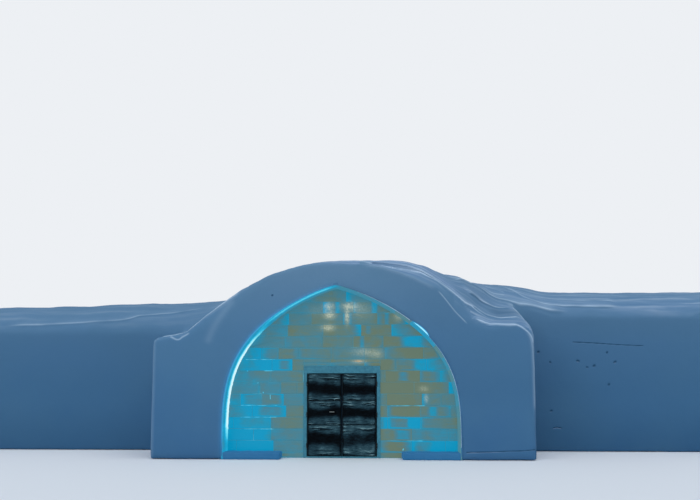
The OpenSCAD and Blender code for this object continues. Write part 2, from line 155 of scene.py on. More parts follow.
def packed_snow():
    """Packed snow, blown into a form and frozen: matt and steel blue, darker and icier towards
    the foot, where painted shade darkens it too, paler where new snow drifted on, with silky
    lines where the wind ran. Painted shade also darkens the wings' walls, the sheltered hollow,
    the roofs' slopes, the steep sides of the drifts and the pits, and the palest lines, on the
    crests of the drifts and along edges and corners, are painted highlights"""
    material, tree, shader = new_material("packed_snow")
    place = add(tree, "TexCoord").outputs["Object"]
    fresh_less_shade, crest, icy_and_shade, glow = [add(tree, "Attribute", attribute_name=name).outputs["Fac"]
                               for name in ("fresh_less_shade", "crest", "icy_and_shade", "glow")]
    wind = add(tree, "Attribute", attribute_name="wind").outputs["Vector"]
    height = add(tree, "SeparateXYZ", {0: place}).outputs["Z"]
    clouds = add(tree, "TexNoise", {"Vector": place, "Scale": 0.45, "Detail": 3.0, "Roughness": 0.5})
    lumps = add(tree, "TexNoise", {"Vector": place, "Scale": 6.0, "Detail": 4.0, "Roughness": 0.6})
    grain = add(tree, "TexNoise", {"Vector": place, "Scale": 45.0, "Detail": 3.0, "Roughness": 0.7})
    silk = add(tree, "TexNoise", {"Vector": wind, "Scale": 7.0, "Detail": 3.0, "Roughness": 0.6})

    # Darker towards the foot and paler towards the top: icier snow low down, with painted shade at the
    # foot and painted light towards the top
    by_height = add(tree, "MapRange", {0: height, 2: 5.0})
    wall = add(tree, "ValToRGB", {0: by_height.outputs[0]},
               stops=[(0.0, "#32618A"), (0.15, "#39678F"), (0.4, "#406D93"), (0.65, "#4A759A"),
                      (1.0, "#5D829F")])
    patchy = add(tree, "MapRange", {0: clouds.outputs[0], 1: 0.35, 2: 0.7, 3: 0.0, 4: 0.4})
    cloudy = add(tree, "Mix", {"Factor": patchy.outputs[0], 6: wall.outputs[0],
                               7: linear("#4A7592")}, data_type="RGBA")
    # The dark blue where the snow is icier and where shade is painted
    shaded = add(tree, "Mix", {"Factor": icy_and_shade, 6: cloudy.outputs[2], 7: linear("#1F4A6A")},
                 data_type="RGBA")
    drift = add(tree, "ValToRGB", {0: silk.outputs[0]},
                stops=[(0.35, "#587BA1"), (0.5, "#6E8DB1"), (0.58, "#8BA3C1"), (0.7, "#B4C5DA")])
    # Paler, silky snow where it drifted on, held back where shade is painted
    drifted = add(tree, "Mix", {"Factor": fresh_less_shade, 6: shaded.outputs[2], 7: drift.outputs[0]},
                  data_type="RGBA")
    # Painted highlights on the crests of the drifts, on edges and on corners
    lined = add(tree, "Mix", {"Factor": crest, 6: drifted.outputs[2], 7: linear("#B4CBE0")},
                data_type="RGBA")
    speckle = add(tree, "MapRange", {0: grain.outputs[0], 1: 0.35, 2: 0.75, 3: 0.0, 4: 0.1})
    grainy = add(tree, "Mix", {"Factor": speckle.outputs[0], 6: lined.outputs[2],
                               7: linear("#2F5C80")}, data_type="RGBA")
    silky = add(tree, "Math", {0: silk.outputs[0], 1: fresh_less_shade}, operation="MULTIPLY")
    fine = add(tree, "Math", {0: grain.outputs[0], 1: 0.5, 2: lumps.outputs[0]},
               operation="MULTIPLY_ADD")
    relief = add(tree, "Math", {0: silky.outputs[0], 1: 1.5, 2: fine.outputs[0]},
                 operation="MULTIPLY_ADD")
    bump = add(tree, "Bump", {"Height": relief.outputs[0], "Distance": 0.015, "Strength": 0.3})
    lit = add(tree, "ValToRGB", {0: glow},
              stops=[(0.0, "#000000"), (0.35, "#07507A"), (0.7, "#14A0CC"), (1.0, "#A8F0FF")])
    feed(shader, {"Base Color": grainy.outputs[2], "Normal": bump.outputs[0],
                  "Emission Color": lit.outputs[0], "Emission Strength": 1.0, "Roughness": 0.85,
                  "Specular IOR Level": 0.3})
    return material


def lit_rime():
    """Rime on the arch's reveal, lit through from behind: white in the core, cyan at its edge"""
    material, tree, shader = new_material("lit_rime")
    place = add(tree, "TexCoord").outputs["Object"]
    glow = add(tree, "Attribute", attribute_name="glow").outputs["Fac"]
    crust = add(tree, "TexNoise", {"Vector": place, "Scale": 18.0, "Detail": 4.0, "Roughness": 0.65})
    shift = add(tree, "Math", {0: crust.outputs[0], 1: 0.3, 2: glow}, operation="MULTIPLY_ADD")
    level = add(tree, "Math", {0: shift.outputs[0], 1: 0.15}, operation="SUBTRACT")
    colour = add(tree, "ValToRGB", {0: level.outputs[0]},
                 stops=[(0.0, "#5A7F80"), (0.12, "#427F92"), (0.3, "#1590B8"), (0.48, "#1FB0D8"),
                        (0.7, "#7FE6F6"), (0.9, "#DCFBFF")])
    bump = add(tree, "Bump", {"Height": crust.outputs[0], "Distance": 0.01, "Strength": 0.4})
    dark = add(tree, "Mix", {"Factor": 0.75, 6: colour.outputs[0], 7: linear("#000000")},
               data_type="RGBA")
    feed(shader, {"Base Color": dark.outputs[2], "Emission Color": colour.outputs[0],
                  "Emission Strength": 0.85, "Normal": bump.outputs[0], "Roughness": 0.5})
    return material


def river_ice():
    """Sawn river ice: clear cyan where the water was still, olive and tan where it carried
    peat, cloudy with air, glossy where the saw face has melted smooth, and lit from behind, so
    that it glows more than it reflects. Lamps behind it show as cream and amber glints"""
    material, tree, shader = new_material("river_ice")
    place = add(tree, "TexCoord").outputs["Object"]
    tint, lamp, amber, edge = [add(tree, "Attribute", attribute_name=name).outputs["Fac"]
                               for name in BLOCK_ATTRIBUTES]
    swirl = add(tree, "TexNoise", {"Vector": place, "Scale": 1.6, "Detail": 4.0, "Roughness": 0.6,
                                   "Distortion": 0.6})
    flat_place = add(tree, "Mapping", {"Vector": place, "Scale": (1.2, 1.2, 9.0)})
    streak = add(tree, "TexNoise", {"Vector": flat_place.outputs[0], "Scale": 2.0, "Detail": 3.0,
                                    "Roughness": 0.55})
    bubbles = add(tree, "TexNoise", {"Vector": place, "Scale": 26.0, "Detail": 4.0,
                                     "Roughness": 0.75})
    swirled = add(tree, "Math", {0: swirl.outputs[0], 1: 1.0, 2: tint}, operation="MULTIPLY_ADD")
    streaked = add(tree, "Math", {0: streak.outputs[0], 1: 0.35, 2: swirled.outputs[0]},
                   operation="MULTIPLY_ADD")
    rimmed = add(tree, "Math", {0: edge, 1: -0.08, 2: streaked.outputs[0]},
                 operation="MULTIPLY_ADD")
    level = add(tree, "Math", {0: rimmed.outputs[0], 1: 0.68}, operation="SUBTRACT")
    body = add(tree, "ValToRGB", {0: level.outputs[0]},
               stops=[(0.0, "#009FCB"), (0.22, "#2397B8"), (0.42, "#3F8BA4"), (0.62, "#508592"),
                      (0.8, "#5E8280"), (1.0, "#6B7F6C")])
    spark = add(tree, "MapRange", {0: bubbles.outputs[0], 1: 0.42, 2: 0.66, 3: 0.35, 4: 1.25})
    shine = add(tree, "Math", {0: lamp, 1: spark.outputs[0]}, operation="MULTIPLY", use_clamp=True)
    lit = add(tree, "Mix", {"Factor": shine.outputs[0], 6: body.outputs[0],
                            7: linear("#D9E0C8")}, data_type="RGBA")
    warm = add(tree, "Mix", {"Factor": amber, 6: lit.outputs[2], 7: linear("#E0B071")},
               data_type="RGBA")
    dark = add(tree, "Mix", {"Factor": 0.75, 6: warm.outputs[2], 7: linear("#001018")},
               data_type="RGBA")
    relief = add(tree, "Math", {0: swirl.outputs[0], 1: 2.0, 2: bubbles.outputs[0]},
                 operation="MULTIPLY_ADD")
    bump = add(tree, "Bump", {"Height": relief.outputs[0], "Distance": 0.006, "Strength": 0.4})
    feed(shader, {"Base Color": dark.outputs[2], "Emission Color": warm.outputs[2],
                  "Normal": bump.outputs[0], "Emission Strength": 0.66, "Roughness": 0.28,
                  "IOR": 1.31})
    return material


def frozen_slush():
    """Slush frozen in the joints between the blocks: granular, and in places it leads the light
    and shows as pale cyan lines"""
    material, tree, shader = new_material("frozen_slush")
    place = add(tree, "TexCoord").outputs["Object"]
    patches = add(tree, "TexNoise", {"Vector": place, "Scale": 1.4, "Detail": 4.0, "Roughness": 0.6})
    colour = add(tree, "ValToRGB", {0: patches.outputs[0]},
                 stops=[(0.4, "#41808E"), (0.6, "#458C9C"), (0.74, "#6CC4D8")])
    dark = add(tree, "Mix", {"Factor": 0.7, 6: colour.outputs[0], 7: linear("#001018")},
               data_type="RGBA")
    feed(shader, {"Base Color": dark.outputs[2], "Emission Color": colour.outputs[0],
                  "Emission Strength": 0.7, "Roughness": 0.6})
    return material


def sawn_timber(name, dark, pale, rime_colour, rime_low, rime_high, light):
    """Rough-sawn boards. The grain lines run along them, about 15 mm apart, and rime has
    settled in patches. The frame is rimed all over and picks up the glow of the ice, the
    leaves are tarred and nearly black"""
    material, tree, shader = new_material(name)
    place = add(tree, "TexCoord").outputs["Object"]
    grain_place = add(tree, "Mapping", {"Vector": place, "Scale": (60.0, 60.0, 3.0)})
    grain = add(tree, "TexNoise", {"Vector": grain_place.outputs[0], "Scale": 1.0, "Detail": 4.0,
                                   "Roughness": 0.6})
    rime = add(tree, "TexNoise", {"Vector": place, "Scale": 14.0, "Detail": 6.0, "Roughness": 0.7})
    wood = add(tree, "ValToRGB", {0: grain.outputs[0]}, stops=[(0.3, dark), (0.7, pale)])
    cover = add(tree, "MapRange", {0: rime.outputs[0], 1: rime_low, 2: rime_high})
    frosted = add(tree, "Mix", {"Factor": cover.outputs[0], 6: wood.outputs[0],
                                7: linear(rime_colour)}, data_type="RGBA")
    bump = add(tree, "Bump", {"Height": grain.outputs[0], "Distance": 0.003, "Strength": 0.6})
    feed(shader, {"Base Color": frosted.outputs[2], "Emission Color": frosted.outputs[2],
                  "Normal": bump.outputs[0], "Emission Strength": light, "Roughness": 0.75,
                  "Specular IOR Level": 0.15})
    return material


def reindeer_hide():
    """Long winter fur: near black in the middle of each hide, with painted shade in the hollows,
    and grey-green where frost has settled in the folds and on the hair tips, with painted
    highlights on the folds. The hair is combed sideways"""
    material, tree, shader = new_material("reindeer_hide")
    place = add(tree, "TexCoord").outputs["Object"]
    # The frost, with the painted highlights and shade of the folds in it
    frost = add(tree, "Attribute", attribute_name="frost").outputs["Fac"]
    hair_place = add(tree, "Mapping", {"Vector": place, "Scale": (9.0, 40.0, 60.0)})
    hair = add(tree, "TexNoise", {"Vector": hair_place.outputs[0], "Scale": 1.0, "Detail": 5.0,
                                  "Roughness": 0.7, "Distortion": 0.5})
    uneven = add(tree, "MapRange", {0: hair.outputs[0], 1: 0.35, 2: 0.65, 3: -0.13, 4: 0.17})
    cover = add(tree, "Math", {0: frost, 1: uneven.outputs[0]}, operation="ADD", use_clamp=True)
    coat = add(tree, "ValToRGB", {0: cover.outputs[0]},
               stops=[(0.0, "#010306"), (0.2, "#08141B"), (0.42, "#1D353F"), (0.62, "#36545E"),
                      (0.82, "#618289"), (1.0, "#A9C9CE")])
    bump = add(tree, "Bump", {"Height": hair.outputs[0], "Distance": 0.008, "Strength": 0.7})
    feed(shader, {"Base Color": coat.outputs[0], "Normal": bump.outputs[0], "Roughness": 0.85,
                  "Specular IOR Level": 0.06})
    return material


def forged_iron():
    """Black forged iron, with hammer marks about 20 mm wide and a bloom of rust and rime"""
    material, tree, shader = new_material("forged_iron")
    place = add(tree, "TexCoord").outputs["Object"]
    marks = add(tree, "TexVoronoi", {"Vector": place, "Scale": 50.0})
    rust = add(tree, "TexNoise", {"Vector": place, "Scale": 35.0, "Detail": 5.0, "Roughness": 0.7})
    colour = add(tree, "ValToRGB", {0: rust.outputs[0]},
                 stops=[(0.4, "#1B1E20"), (0.6, "#33302E"), (0.75, "#7F929A")])
    bump = add(tree, "Bump", {"Height": marks.outputs["Distance"], "Distance": 0.002,
                              "Strength": 0.5})
    feed(shader, {"Base Color": colour.outputs[0], "Normal": bump.outputs[0], "Metallic": 0.8,
                  "Roughness": 0.5})
    return material


def polished_antler():
    """Antler worn smooth by hands: pale bone with brown channels along it"""
    material, tree, shader = new_material("polished_antler")
    place = add(tree, "TexCoord").outputs["Object"]
    channel_place = add(tree, "Mapping", {"Vector": place, "Scale": (12.0, 140.0, 140.0)})
    channels = add(tree, "TexNoise", {"Vector": channel_place.outputs[0], "Scale": 1.0,
                                      "Detail": 3.0})
    colour = add(tree, "ValToRGB", {0: channels.outputs[0]},
                 stops=[(0.3, "#4C4B44"), (0.5, "#7C817C"), (0.7, "#9AA4A3")])
    bump = add(tree, "Bump", {"Height": channels.outputs[0], "Distance": 0.002, "Strength": 0.5})
    feed(shader, {"Base Color": colour.outputs[0], "Normal": bump.outputs[0], "Roughness": 0.4})
    return material


MATERIALS = {
    "snow": packed_snow(), "rime": lit_rime(), "ice": river_ice(), "slush": frozen_slush(),
    "timber": sawn_timber("rimed_pine", "#2B5F74", "#366F82", "#478698", 0.3, 0.8, 0.12),
    "boards": sawn_timber("tarred_pine", "#04090C", "#0C1920", "#2C4852", 0.55, 0.75, 0.0),
    "hide": reindeer_hide(), "iron": forged_iron(), "horn": polished_antler(),
}


# Small tools for making pieces

def smooth_step(t):
    """From 0 at 0 and below to 1 at 1 and above, without a kink"""
    u = np.clip(t, 0, 1)
    return u * u * (3 - 2 * u)


def bell(distance, spread):
    """1 at no distance, and about a third at one spread"""
    return np.exp(-(distance / spread) ** 2)


def arch_x(z, side):
    """Where the pointed arch's left (-1) or right (1) side stands at each height"""
    share = np.clip((z - FOOT_H) / (ARCH_H - FOOT_H), 0, 1)
    half = ARCH_HALF_W * (1 - share ** ARCH_POWER) ** SIDE_POWER
    return side * half - APEX_LEAN * share ** LEAN_POWER


def arch_line():
    """The arch's line from its left foot over the point to its right foot, each (x, z)"""
    z = np.append(0.0, FOOT_H + (ARCH_H - FOOT_H) * (1 - np.linspace(1, 0, 40) ** 1.8))
    left = np.stack([arch_x(z, -1), z], 1)
    right = np.stack([arch_x(z, 1), z], 1)[::-1]
    return np.vstack([left, right[1:]])


def distances_along(curve):
    """How far along a line each of its points is"""
    return np.concatenate([[0], np.cumsum(np.linalg.norm(np.diff(curve, axis=0), axis=1))])


def coordinates(mesh):
    """Where each vertex is, one row each"""
    co = np.empty(len(mesh.vertices) * 3, np.float32)
    mesh.vertices.foreach_get("co", co)
    return co.reshape(-1, 3).astype(float)


def vertex_normals(mesh):
    """The way each vertex faces, one row each"""
    normals = np.empty(len(mesh.vertices) * 3, np.float32)
    mesh.vertex_normals.foreach_get("vector", normals)
    return normals.reshape(-1, 3).astype(float)


def move_vertices(mesh, co):
    """Moves each vertex to its row's place"""
    mesh.vertices.foreach_set("co", co.astype(np.float32).ravel())
    mesh.update()


def set_attribute(mesh, name, values, kind="value"):
    """Writes an amount, or a vector, for each vertex"""
    storage = "FLOAT" if kind == "value" else "FLOAT_VECTOR"
    attribute = mesh.attributes.get(name) or mesh.attributes.new(name, storage, "POINT")
    attribute.data.foreach_set(kind, np.asarray(values, np.float32).ravel())


def field(points, scale, seed=0.0):
    """Smooth noise from -1 to 1 at each point, with features of the given size in metres, or
    of one size for each axis"""
    scaled = points / np.asarray(scale) + seed
    return np.array([noise.noise(p) for p in scaled.tolist()])


def mesh_of(bm, name):
    """A mesh made from a bmesh, which is freed"""
    mesh = bpy.data.meshes.new(name)
    bm.to_mesh(mesh)
    bm.free()
    return mesh


def sliced(bm, point, outward, clear_outer=True, dist=1e-5):
    """Cuts a bmesh along a plane, drops what lies outside it where that is asked, and gives the
    edges of the cut"""
    cut = bmesh.ops.bisect_plane(bm, geom=bm.verts[:] + bm.edges[:] + bm.faces[:], dist=dist,
                                 plane_co=point, plane_no=outward, clear_outer=clear_outer)
    return [e for e in cut["geom_cut"] if isinstance(e, bmesh.types.BMEdge)]


def closed_skin(back, front):
    """A closed bmesh between two grids of points of the same size, the back one's first"""
    rows, columns = back.shape[:2]
    bm = bmesh.new()
    for points in (back, front):
        sheet = bmesh.ops.create_grid(bm, x_segments=columns - 1, y_segments=rows - 1, size=1.0)
        for v, place in zip(sheet["verts"], points.reshape(-1, 3).tolist()):
            v.co = place
    bmesh.ops.bridge_loops(bm, edges=[e for e in bm.edges if e.is_boundary])
    bmesh.ops.recalc_face_normals(bm, faces=bm.faces)
    return bm


def new_piece(mesh, name, finish, body="building"):
    """An object for a finished mesh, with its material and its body"""
    mesh.materials.clear()
    mesh.materials.append(MATERIALS[finish])
    piece = bpy.data.objects.new(name, mesh)
    bpy.context.scene.collection.objects.link(piece)
    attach(piece, body)
    return piece


def with_modifiers(mesh, *modifiers):
    """The mesh after some modifiers, each a type and its settings"""
    helper = bpy.data.objects.new("helper", mesh)
    bpy.context.scene.collection.objects.link(helper)
    for kind, settings in modifiers:
        modifier = helper.modifiers.new(kind.lower(), kind)
        for name, value in settings.items():
            setattr(modifier, name, value)
    graph = bpy.context.evaluated_depsgraph_get()
    done = bpy.data.meshes.new_from_object(helper.evaluated_get(graph))
    bpy.data.objects.remove(helper)
    return done


def joined_nodes(names):
    """Copies of some CAD nodes in one mesh, with their loose triangles merged"""
    bm = bmesh.new()
    for name in names:
        bm.from_mesh(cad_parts[name].data)
    bmesh.ops.remove_doubles(bm, verts=bm.verts, dist=1e-5)
    return mesh_of(bm, "joined")


# Snow

# Size of the skin's faces, and how uneven the walls and the roofs are
VOXEL = 0.06
WALL_WAVE = 0.012
ROOF_WAVE = 0.03

# How round the portal's right front corner is worn, at its foot and at its top
CORNER_LOW_R = 0.06
CORNER_TOP_R = 0.14

# A crest: how wide its painted highlight, its gentle side, its steep side and the painted shade on its
# steep side are
CREST_W = 0.02
CREST_BACK = 0.22
CREST_DROP = 0.035
LEE_W = 0.16

# How far back the chamfer on the portal's front top edge goes
LIP_BACK = 0.18

# The chip on the arch's right front edge: height of its middle, half length, width and depth
CHIP_Z = 3.43
CHIP_RUN = 0.22
CHIP_W = 0.075
CHIP_D = 0.04

# Half widths of the strips along lines and along the arch that get small faces
FINE_W = 0.09
FINE_ARCH_W = 0.105

# What the vaults take up inside the snow: a margin around the hall's, and the gallery's size
VAULT_MARGIN = 0.07
GALLERY_HALF_W = 2.1
GALLERY_H = 3.4

# How much the snow on the portal's front edge stands above the solid's flat facets, each
# (x, height), and swells behind it, each (x, y, half width along X, and along Y, height)
FRONT_RAISE = [(-3.7, 0.0), (-3.35, 0.03), (-2.95, 0.07), (-2.6, 0.06), (-2.3, 0.085), (-1.8, 0.08),
               (-1.4, 0.085), (-1.1, 0.1), (-0.8, 0.1), (-0.5, 0.09), (-0.25, 0.08), (0.05, 0.04),
               (0.5, 0.01), (1.0, 0.01), (1.5, 0.01), (2.0, 0.03), (2.3, 0.035), (2.5, 0.02),
               (2.8, 0.0), (3.6, 0.0), (4.1, -0.04), (5.1, -0.04)]
SWELLS = [(3.35, -2.25, 0.4, 0.7, 0.095), (2.2, -3.3, 0.35, 0.5, 0.03), (5.2, -0.3, 0.8, 1.2, 0.05),
          (9.5, 0.0, 3.0, 1.2, 0.04), (-5.5, 0.0, 0.8, 1.2, 0.02), (5.0, -2.7, 0.35, 0.8, 0.05),
          (1.7, -3.8, 0.7, 0.22, 0.05)]

# The lines that the wind ran along, from the crown over the right shoulder and the right
# roof, from the front one to the back one, each (x, y), and how pale the snow is on the
# shoulder, each (which line, between them in shares, and how pale)
STREAMS = [[(-0.5, -4.2), (1.7, -4.2), (3.5, -4.2), (5.3, -4.2)],
           [(-0.5, -4.02), (1.7, -4.05), (3.2, -4.0), (3.6, -3.78), (4.2, -3.64), (5.3, -3.3)],
           [(-0.5, -3.85), (1.7, -3.85), (2.8, -3.7), (3.45, -3.3), (3.92, -2.81), (4.36, -2.48),
            (5.3, -2.3)],
           [(-0.5, -3.6), (1.5, -3.65), (2.4, -3.5), (3.02, -3.1), (3.45, -2.49), (3.98, -1.76),
            (4.62, -1.48), (6.1, -1.34), (12.3, -1.33)],
           [(-0.5, -3.0), (1.5, -3.0), (2.6, -2.6), (3.4, -1.7), (4.4, -1.05), (5.5, -0.95),
            (12.3, -0.95)],
           [(-0.5, -1.8), (2.0, -1.5), (3.5, -0.5), (4.6, 0.1), (12.3, 0.4)],
           [(-0.5, 4.4), (12.3, 4.4)]]
STREAM_PLACES = [0.0, 0.5, 1.1, 1.9, 2.5, 3.6, 7.6]
SHOULDER_FRESH = [(0, 0.6), (0.5, 0.5), (1, 0.4), (1.5, 0.28), (1.9, 0.34), (2.1, 0.5), (2.6, 0.4),
                  (2.9, 0.3), (3.1, 0.5), (3.6, 0.5), (4.2, 0.33), (5, 0.25), (6, 0.25)]

# The chamfer that the wind cut along the top of the portal's front, right of the crown: the
# crease at its foot and the ridge at its top, each (x, z)
LIP_CREASE = [(0.55, 5.17), (0.84, 5.12), (1.18, 5.05), (1.39, 4.98), (1.65, 4.9), (1.93, 4.79),
              (2.18, 4.67), (2.34, 4.59), (2.56, 4.47), (2.68, 4.33), (2.79, 4.19), (3.01, 3.9),
              (3.19, 3.71), (3.35, 3.54)]
LIP_RIDGE = [(0.51, 5.24), (1.13, 5.16), (1.74, 5.06), (2.13, 4.98), (2.56, 4.75), (2.92, 4.47),
             (3.28, 4.17), (3.51, 4.05)]

# Crests of the drifts on the roofs, each with its height, how strong its painted highlight and
# shade are, and its line (x, y). They rise gently from the left of the line and drop steeply on
# the right of it, where the shade is painted
CRESTS = [
    (0.012, 0.9, [(-0.5, -4.05), (0.0, -4.06), (0.51, -4.07), (1.13, -4.09), (1.74, -4.09),
                  (2.13, -4.07), (2.56, -4.06), (2.92, -4.06), (3.28, -4.02), (3.51, -3.88),
                  (3.75, -3.84), (3.98, -3.92), (4.12, -4.06)]),
    (0.02, 0.55, [(2.1, -3.62), (2.4, -3.53), (2.63, -3.34), (2.87, -3.13), (3.09, -2.97),
                  (3.35, -2.66), (3.7, -2.1), (3.92, -1.6)]),
    (0.035, 0.8, [(3.02, -3.17), (3.21, -2.95), (3.45, -2.49), (3.75, -1.97), (3.98, -1.76),
                  (4.21, -1.64), (4.41, -1.55), (4.62, -1.48), (4.83, -1.45), (5.08, -1.43),
                  (5.27, -1.4), (5.6, -1.37), (6.1, -1.34), (6.9, -1.33)]),
    (0.015, 0.5, [(4.13, -1.45), (4.32, -1.42), (4.48, -1.36), (4.73, -1.3), (4.94, -1.28)]),
    (0.015, 0.4, [(4.31, -1.2), (4.55, -1.1), (4.75, -1.12), (4.95, -1.18)]),
    (0.03, 0.55, [(4.8, -0.66), (4.99, -0.79), (5.17, -0.93), (5.35, -1.06), (5.5, -1.15),
                  (5.76, -1.2), (6.05, -1.21), (6.91, -1.2), (8.42, -1.21)]),
    (0.02, 0.4, [(5.5, -1.0), (5.8, -0.99), (6.3, -0.96), (7.0, -0.95), (8.5, -1.0)]),
    (0.015, 0.35, [(5.3, -0.7), (5.9, -0.72), (6.6, -0.66), (7.6, -0.6), (9.0, -0.7)]),
    (0.05, 1.0, [(3.45, -3.3), (3.62, -3.1), (3.77, -2.96), (3.92, -2.81), (4.13, -2.62),
                 (4.36, -2.48), (4.7, -2.36), (4.93, -2.34)]),
    (0.015, 0.8, [(5.03, -3.95), (5.02, -3.7), (5.01, -3.4), (4.99, -2.85), (4.97, -2.34),
                  (5.0, -1.8)]),
    (0.04, 0.9, [(3.4, -3.98), (3.5, -3.86), (3.64, -3.76), (3.89, -3.74), (4.19, -3.64),
                 (4.4, -3.61), (4.63, -3.52), (4.94, -3.38)]),
    (0.012, 0.9, [(3.55, -4.18), (3.8, -4.17), (4.05, -4.16), (4.26, -4.19), (4.47, -4.2),
                  (4.62, -4.19), (4.72, -4.18)]),
    (0.01, 1.6, [(-5.0, -4.05), (-4.78, -4.08), (-4.55, -4.08), (-4.3, -4.03), (-4.05, -4.03),
                  (-3.8, -4.03), (-3.4, -4.01), (-3.0, -4.0), (-2.5, -4.0)]),
    (0.02, 0.4, [(-11.0, -1.3), (-9.1, -1.26), (-7.2, -1.2), (-6.65, -1.07), (-5.9, -0.98),
                 (-5.29, -0.94), (-4.93, -0.85), (-4.49, -0.78)]),
]

# Painted highlights on the portal's front, each with how pale and how wide it is, and its line (x, z)
FRONT_LINES = [
    (0.12, 0.05, LIP_CREASE[:9]),
    (0.45, 0.014, LIP_CREASE[8:]),
    (0.5, 0.03, [(-4.4, 3.32), (-4.06, 3.51), (-3.8, 3.72), (-3.4, 4.04), (-3.0, 4.32), (-2.7, 4.5)]),
    (0.5, 0.02, [(-4.62, 3.26), (-4.38, 3.17), (-4.24, 3.25), (-4.05, 3.36)]),
    (0.1, 0.1, [(-2.85, 4.32), (-3.05, 4.05), (-3.25, 3.75), (-3.45, 3.4), (-3.6, 3.0)]),
    (0.7, 0.022, [(3.9, 3.6), (4.28, 3.53), (4.59, 3.53), (4.76, 3.49), (4.92, 3.39), (5.02, 3.24),
                  (5.06, 3.0)]),
    (0.3, 0.05, [(4.8, 3.5), (4.97, 3.3), (5.03, 3.0), (5.05, 2.6), (5.06, 2.0), (5.06, 1.2)]),
]

# Damage, each with its wall's y, its depth, its width and its line (x, z): pits are short lines
DAMAGE = [
    (FRONT_Y, 0.016, 0.012, [(3.27, 0.2), (3.6, 0.215), (3.89, 0.22), (4.3, 0.235), (4.7, 0.25),
                             (5.06, 0.28)]),
    (FRONT_Y, 0.022, 0.02, [(-1.84, 4.35), (-1.83, 4.35)]),
    (FACE_Y, 0.026, 0.03, [(5.86, 3.0), (5.87, 3.01)]),
    (FACE_Y, 0.022, 0.026, [(6.21, 2.7), (6.22, 2.68)]),
    (FACE_Y, 0.026, 0.03, [(7.03, 2.73), (7.07, 2.72)]),
    (FACE_Y, 0.022, 0.026, [(7.31, 2.54), (7.33, 2.53)]),
    (FACE_Y, 0.026, 0.03, [(7.52, 2.57), (7.54, 2.59)]),
    (FACE_Y, 0.022, 0.026, [(7.92, 2.97), (7.93, 2.99)]),
    (FACE_Y, 0.026, 0.03, [(8.14, 2.68), (8.17, 2.7)]),
    (FACE_Y, 0.022, 0.03, [(7.95, 2.0), (7.96, 2.02)]),
    (FACE_Y, 0.022, 0.03, [(6.2, 1.21), (6.22, 1.22)]),
    (FACE_Y, 0.03, 0.014, [(6.26, 0.7), (6.36, 0.72), (6.49, 0.7)]),
    (FACE_Y, 0.02, 0.012, [(6.92, 3.3), (7.5, 3.27), (8.2, 3.22), (9.0, 3.18)]),
]


def up_facing(normals):
    """1 where the snow faces up, 0 on walls and ceilings"""
    return smooth_step((normals[:, 2] - 0.15) / 0.6)


def outside(co):
    """1 on the outer faces, 0 in the vaults"""
    x, y, z = co.T
    in_hall = (x < arch_x(z, 1) + VAULT_MARGIN) & (x > arch_x(z, -1) - VAULT_MARGIN)
    in_hall &= (z < ARCH_H + VAULT_MARGIN) & (y < BACK_Y - 0.5) & (y > FRONT_Y + 0.02)
    in_gallery = (np.abs(y - (FACE_Y + BACK_Y) / 2) < GALLERY_HALF_W) & (z < GALLERY_H)
    in_gallery &= np.abs(x) < END_X - 0.5
    return np.where(in_hall | in_gallery, 0.0, 1.0)


def arch_gap(co, ready):
    """Distance of the points that are ready from the arch's line, in its plane, more than 0 in
    the snow, and the direction away from the opening. It is 9 for the others"""
    gap, away = np.full(len(co), 9.0), np.zeros((len(co), 3))
    near = ready & (np.abs(co[:, 0]) < ARCH_HALF_W + 0.4) & (co[:, 2] < ARCH_H + 0.4)
    near = np.flatnonzero(near)
    distance, _, offset = line_distance(co[near][:, [0, 2]], arch_line())
    gap[near] = distance
    unit = offset / np.where(distance == 0, 1, distance)[:, None]
    away[near, 0], away[near, 2] = unit.T
    return gap, away


def curve_through(points):
    """A smooth line through some points, as many short straight ones"""
    steps = 6
    p = np.array(points, float)
    p = np.vstack([2 * p[0] - p[1], p, 2 * p[-1] - p[-2]])
    t = np.arange(steps)[:, None] / steps
    parts = [0.5 * (2 * b + (c - a) * t + (2 * a - 5 * b + 4 * c - d) * t ** 2
                    + (3 * b - a - 3 * c + d) * t ** 3)
             for a, b, c, d in zip(p, p[1:], p[2:], p[3:])]
    return np.vstack(parts + [p[-2:-1]])


def line_distance(places, curve):
    """Distance of each place in a plane from a line, more than 0 on its left, how far along the
    line the nearest point is, from 0 to 1, and the way from that point to the place"""
    best = np.full(len(places), 9.0)
    side, along = np.ones(len(places)), np.zeros(len(places))
    way = np.zeros((len(places), 2))
    lengths = distances_along(curve)
    for i, (a, b) in enumerate(zip(curve, curve[1:])):
        run = b - a
        share = np.clip(((places - a) @ run) / (run @ run), 0, 1)
        offset = places - a - share[:, None] * run
        distance = np.hypot(offset[:, 0], offset[:, 1])
        nearer = distance < best
        best[nearer] = distance[nearer]
        way[nearer] = offset[nearer]
        side[nearer] = np.sign(run[0] * offset[:, 1] - run[1] * offset[:, 0])[nearer]
        along[nearer] = (lengths[i] + share * (lengths[i + 1] - lengths[i]))[nearer] / lengths[-1]
    return best * side, along, way


def near_line(places, ready, points, reach):
    """The places near a line, with their distances from it and how strong it is there"""
    curve = curve_through(points)
    low, high = curve.min(axis=0) - reach, curve.max(axis=0) + reach
    chosen = np.flatnonzero(ready & ((places > low) & (places < high)).all(axis=1))
    distance, along, _ = line_distance(places[chosen], curve)
    taper = smooth_step(np.minimum(along, 1 - along) / 0.12)
    return chosen, distance, taper


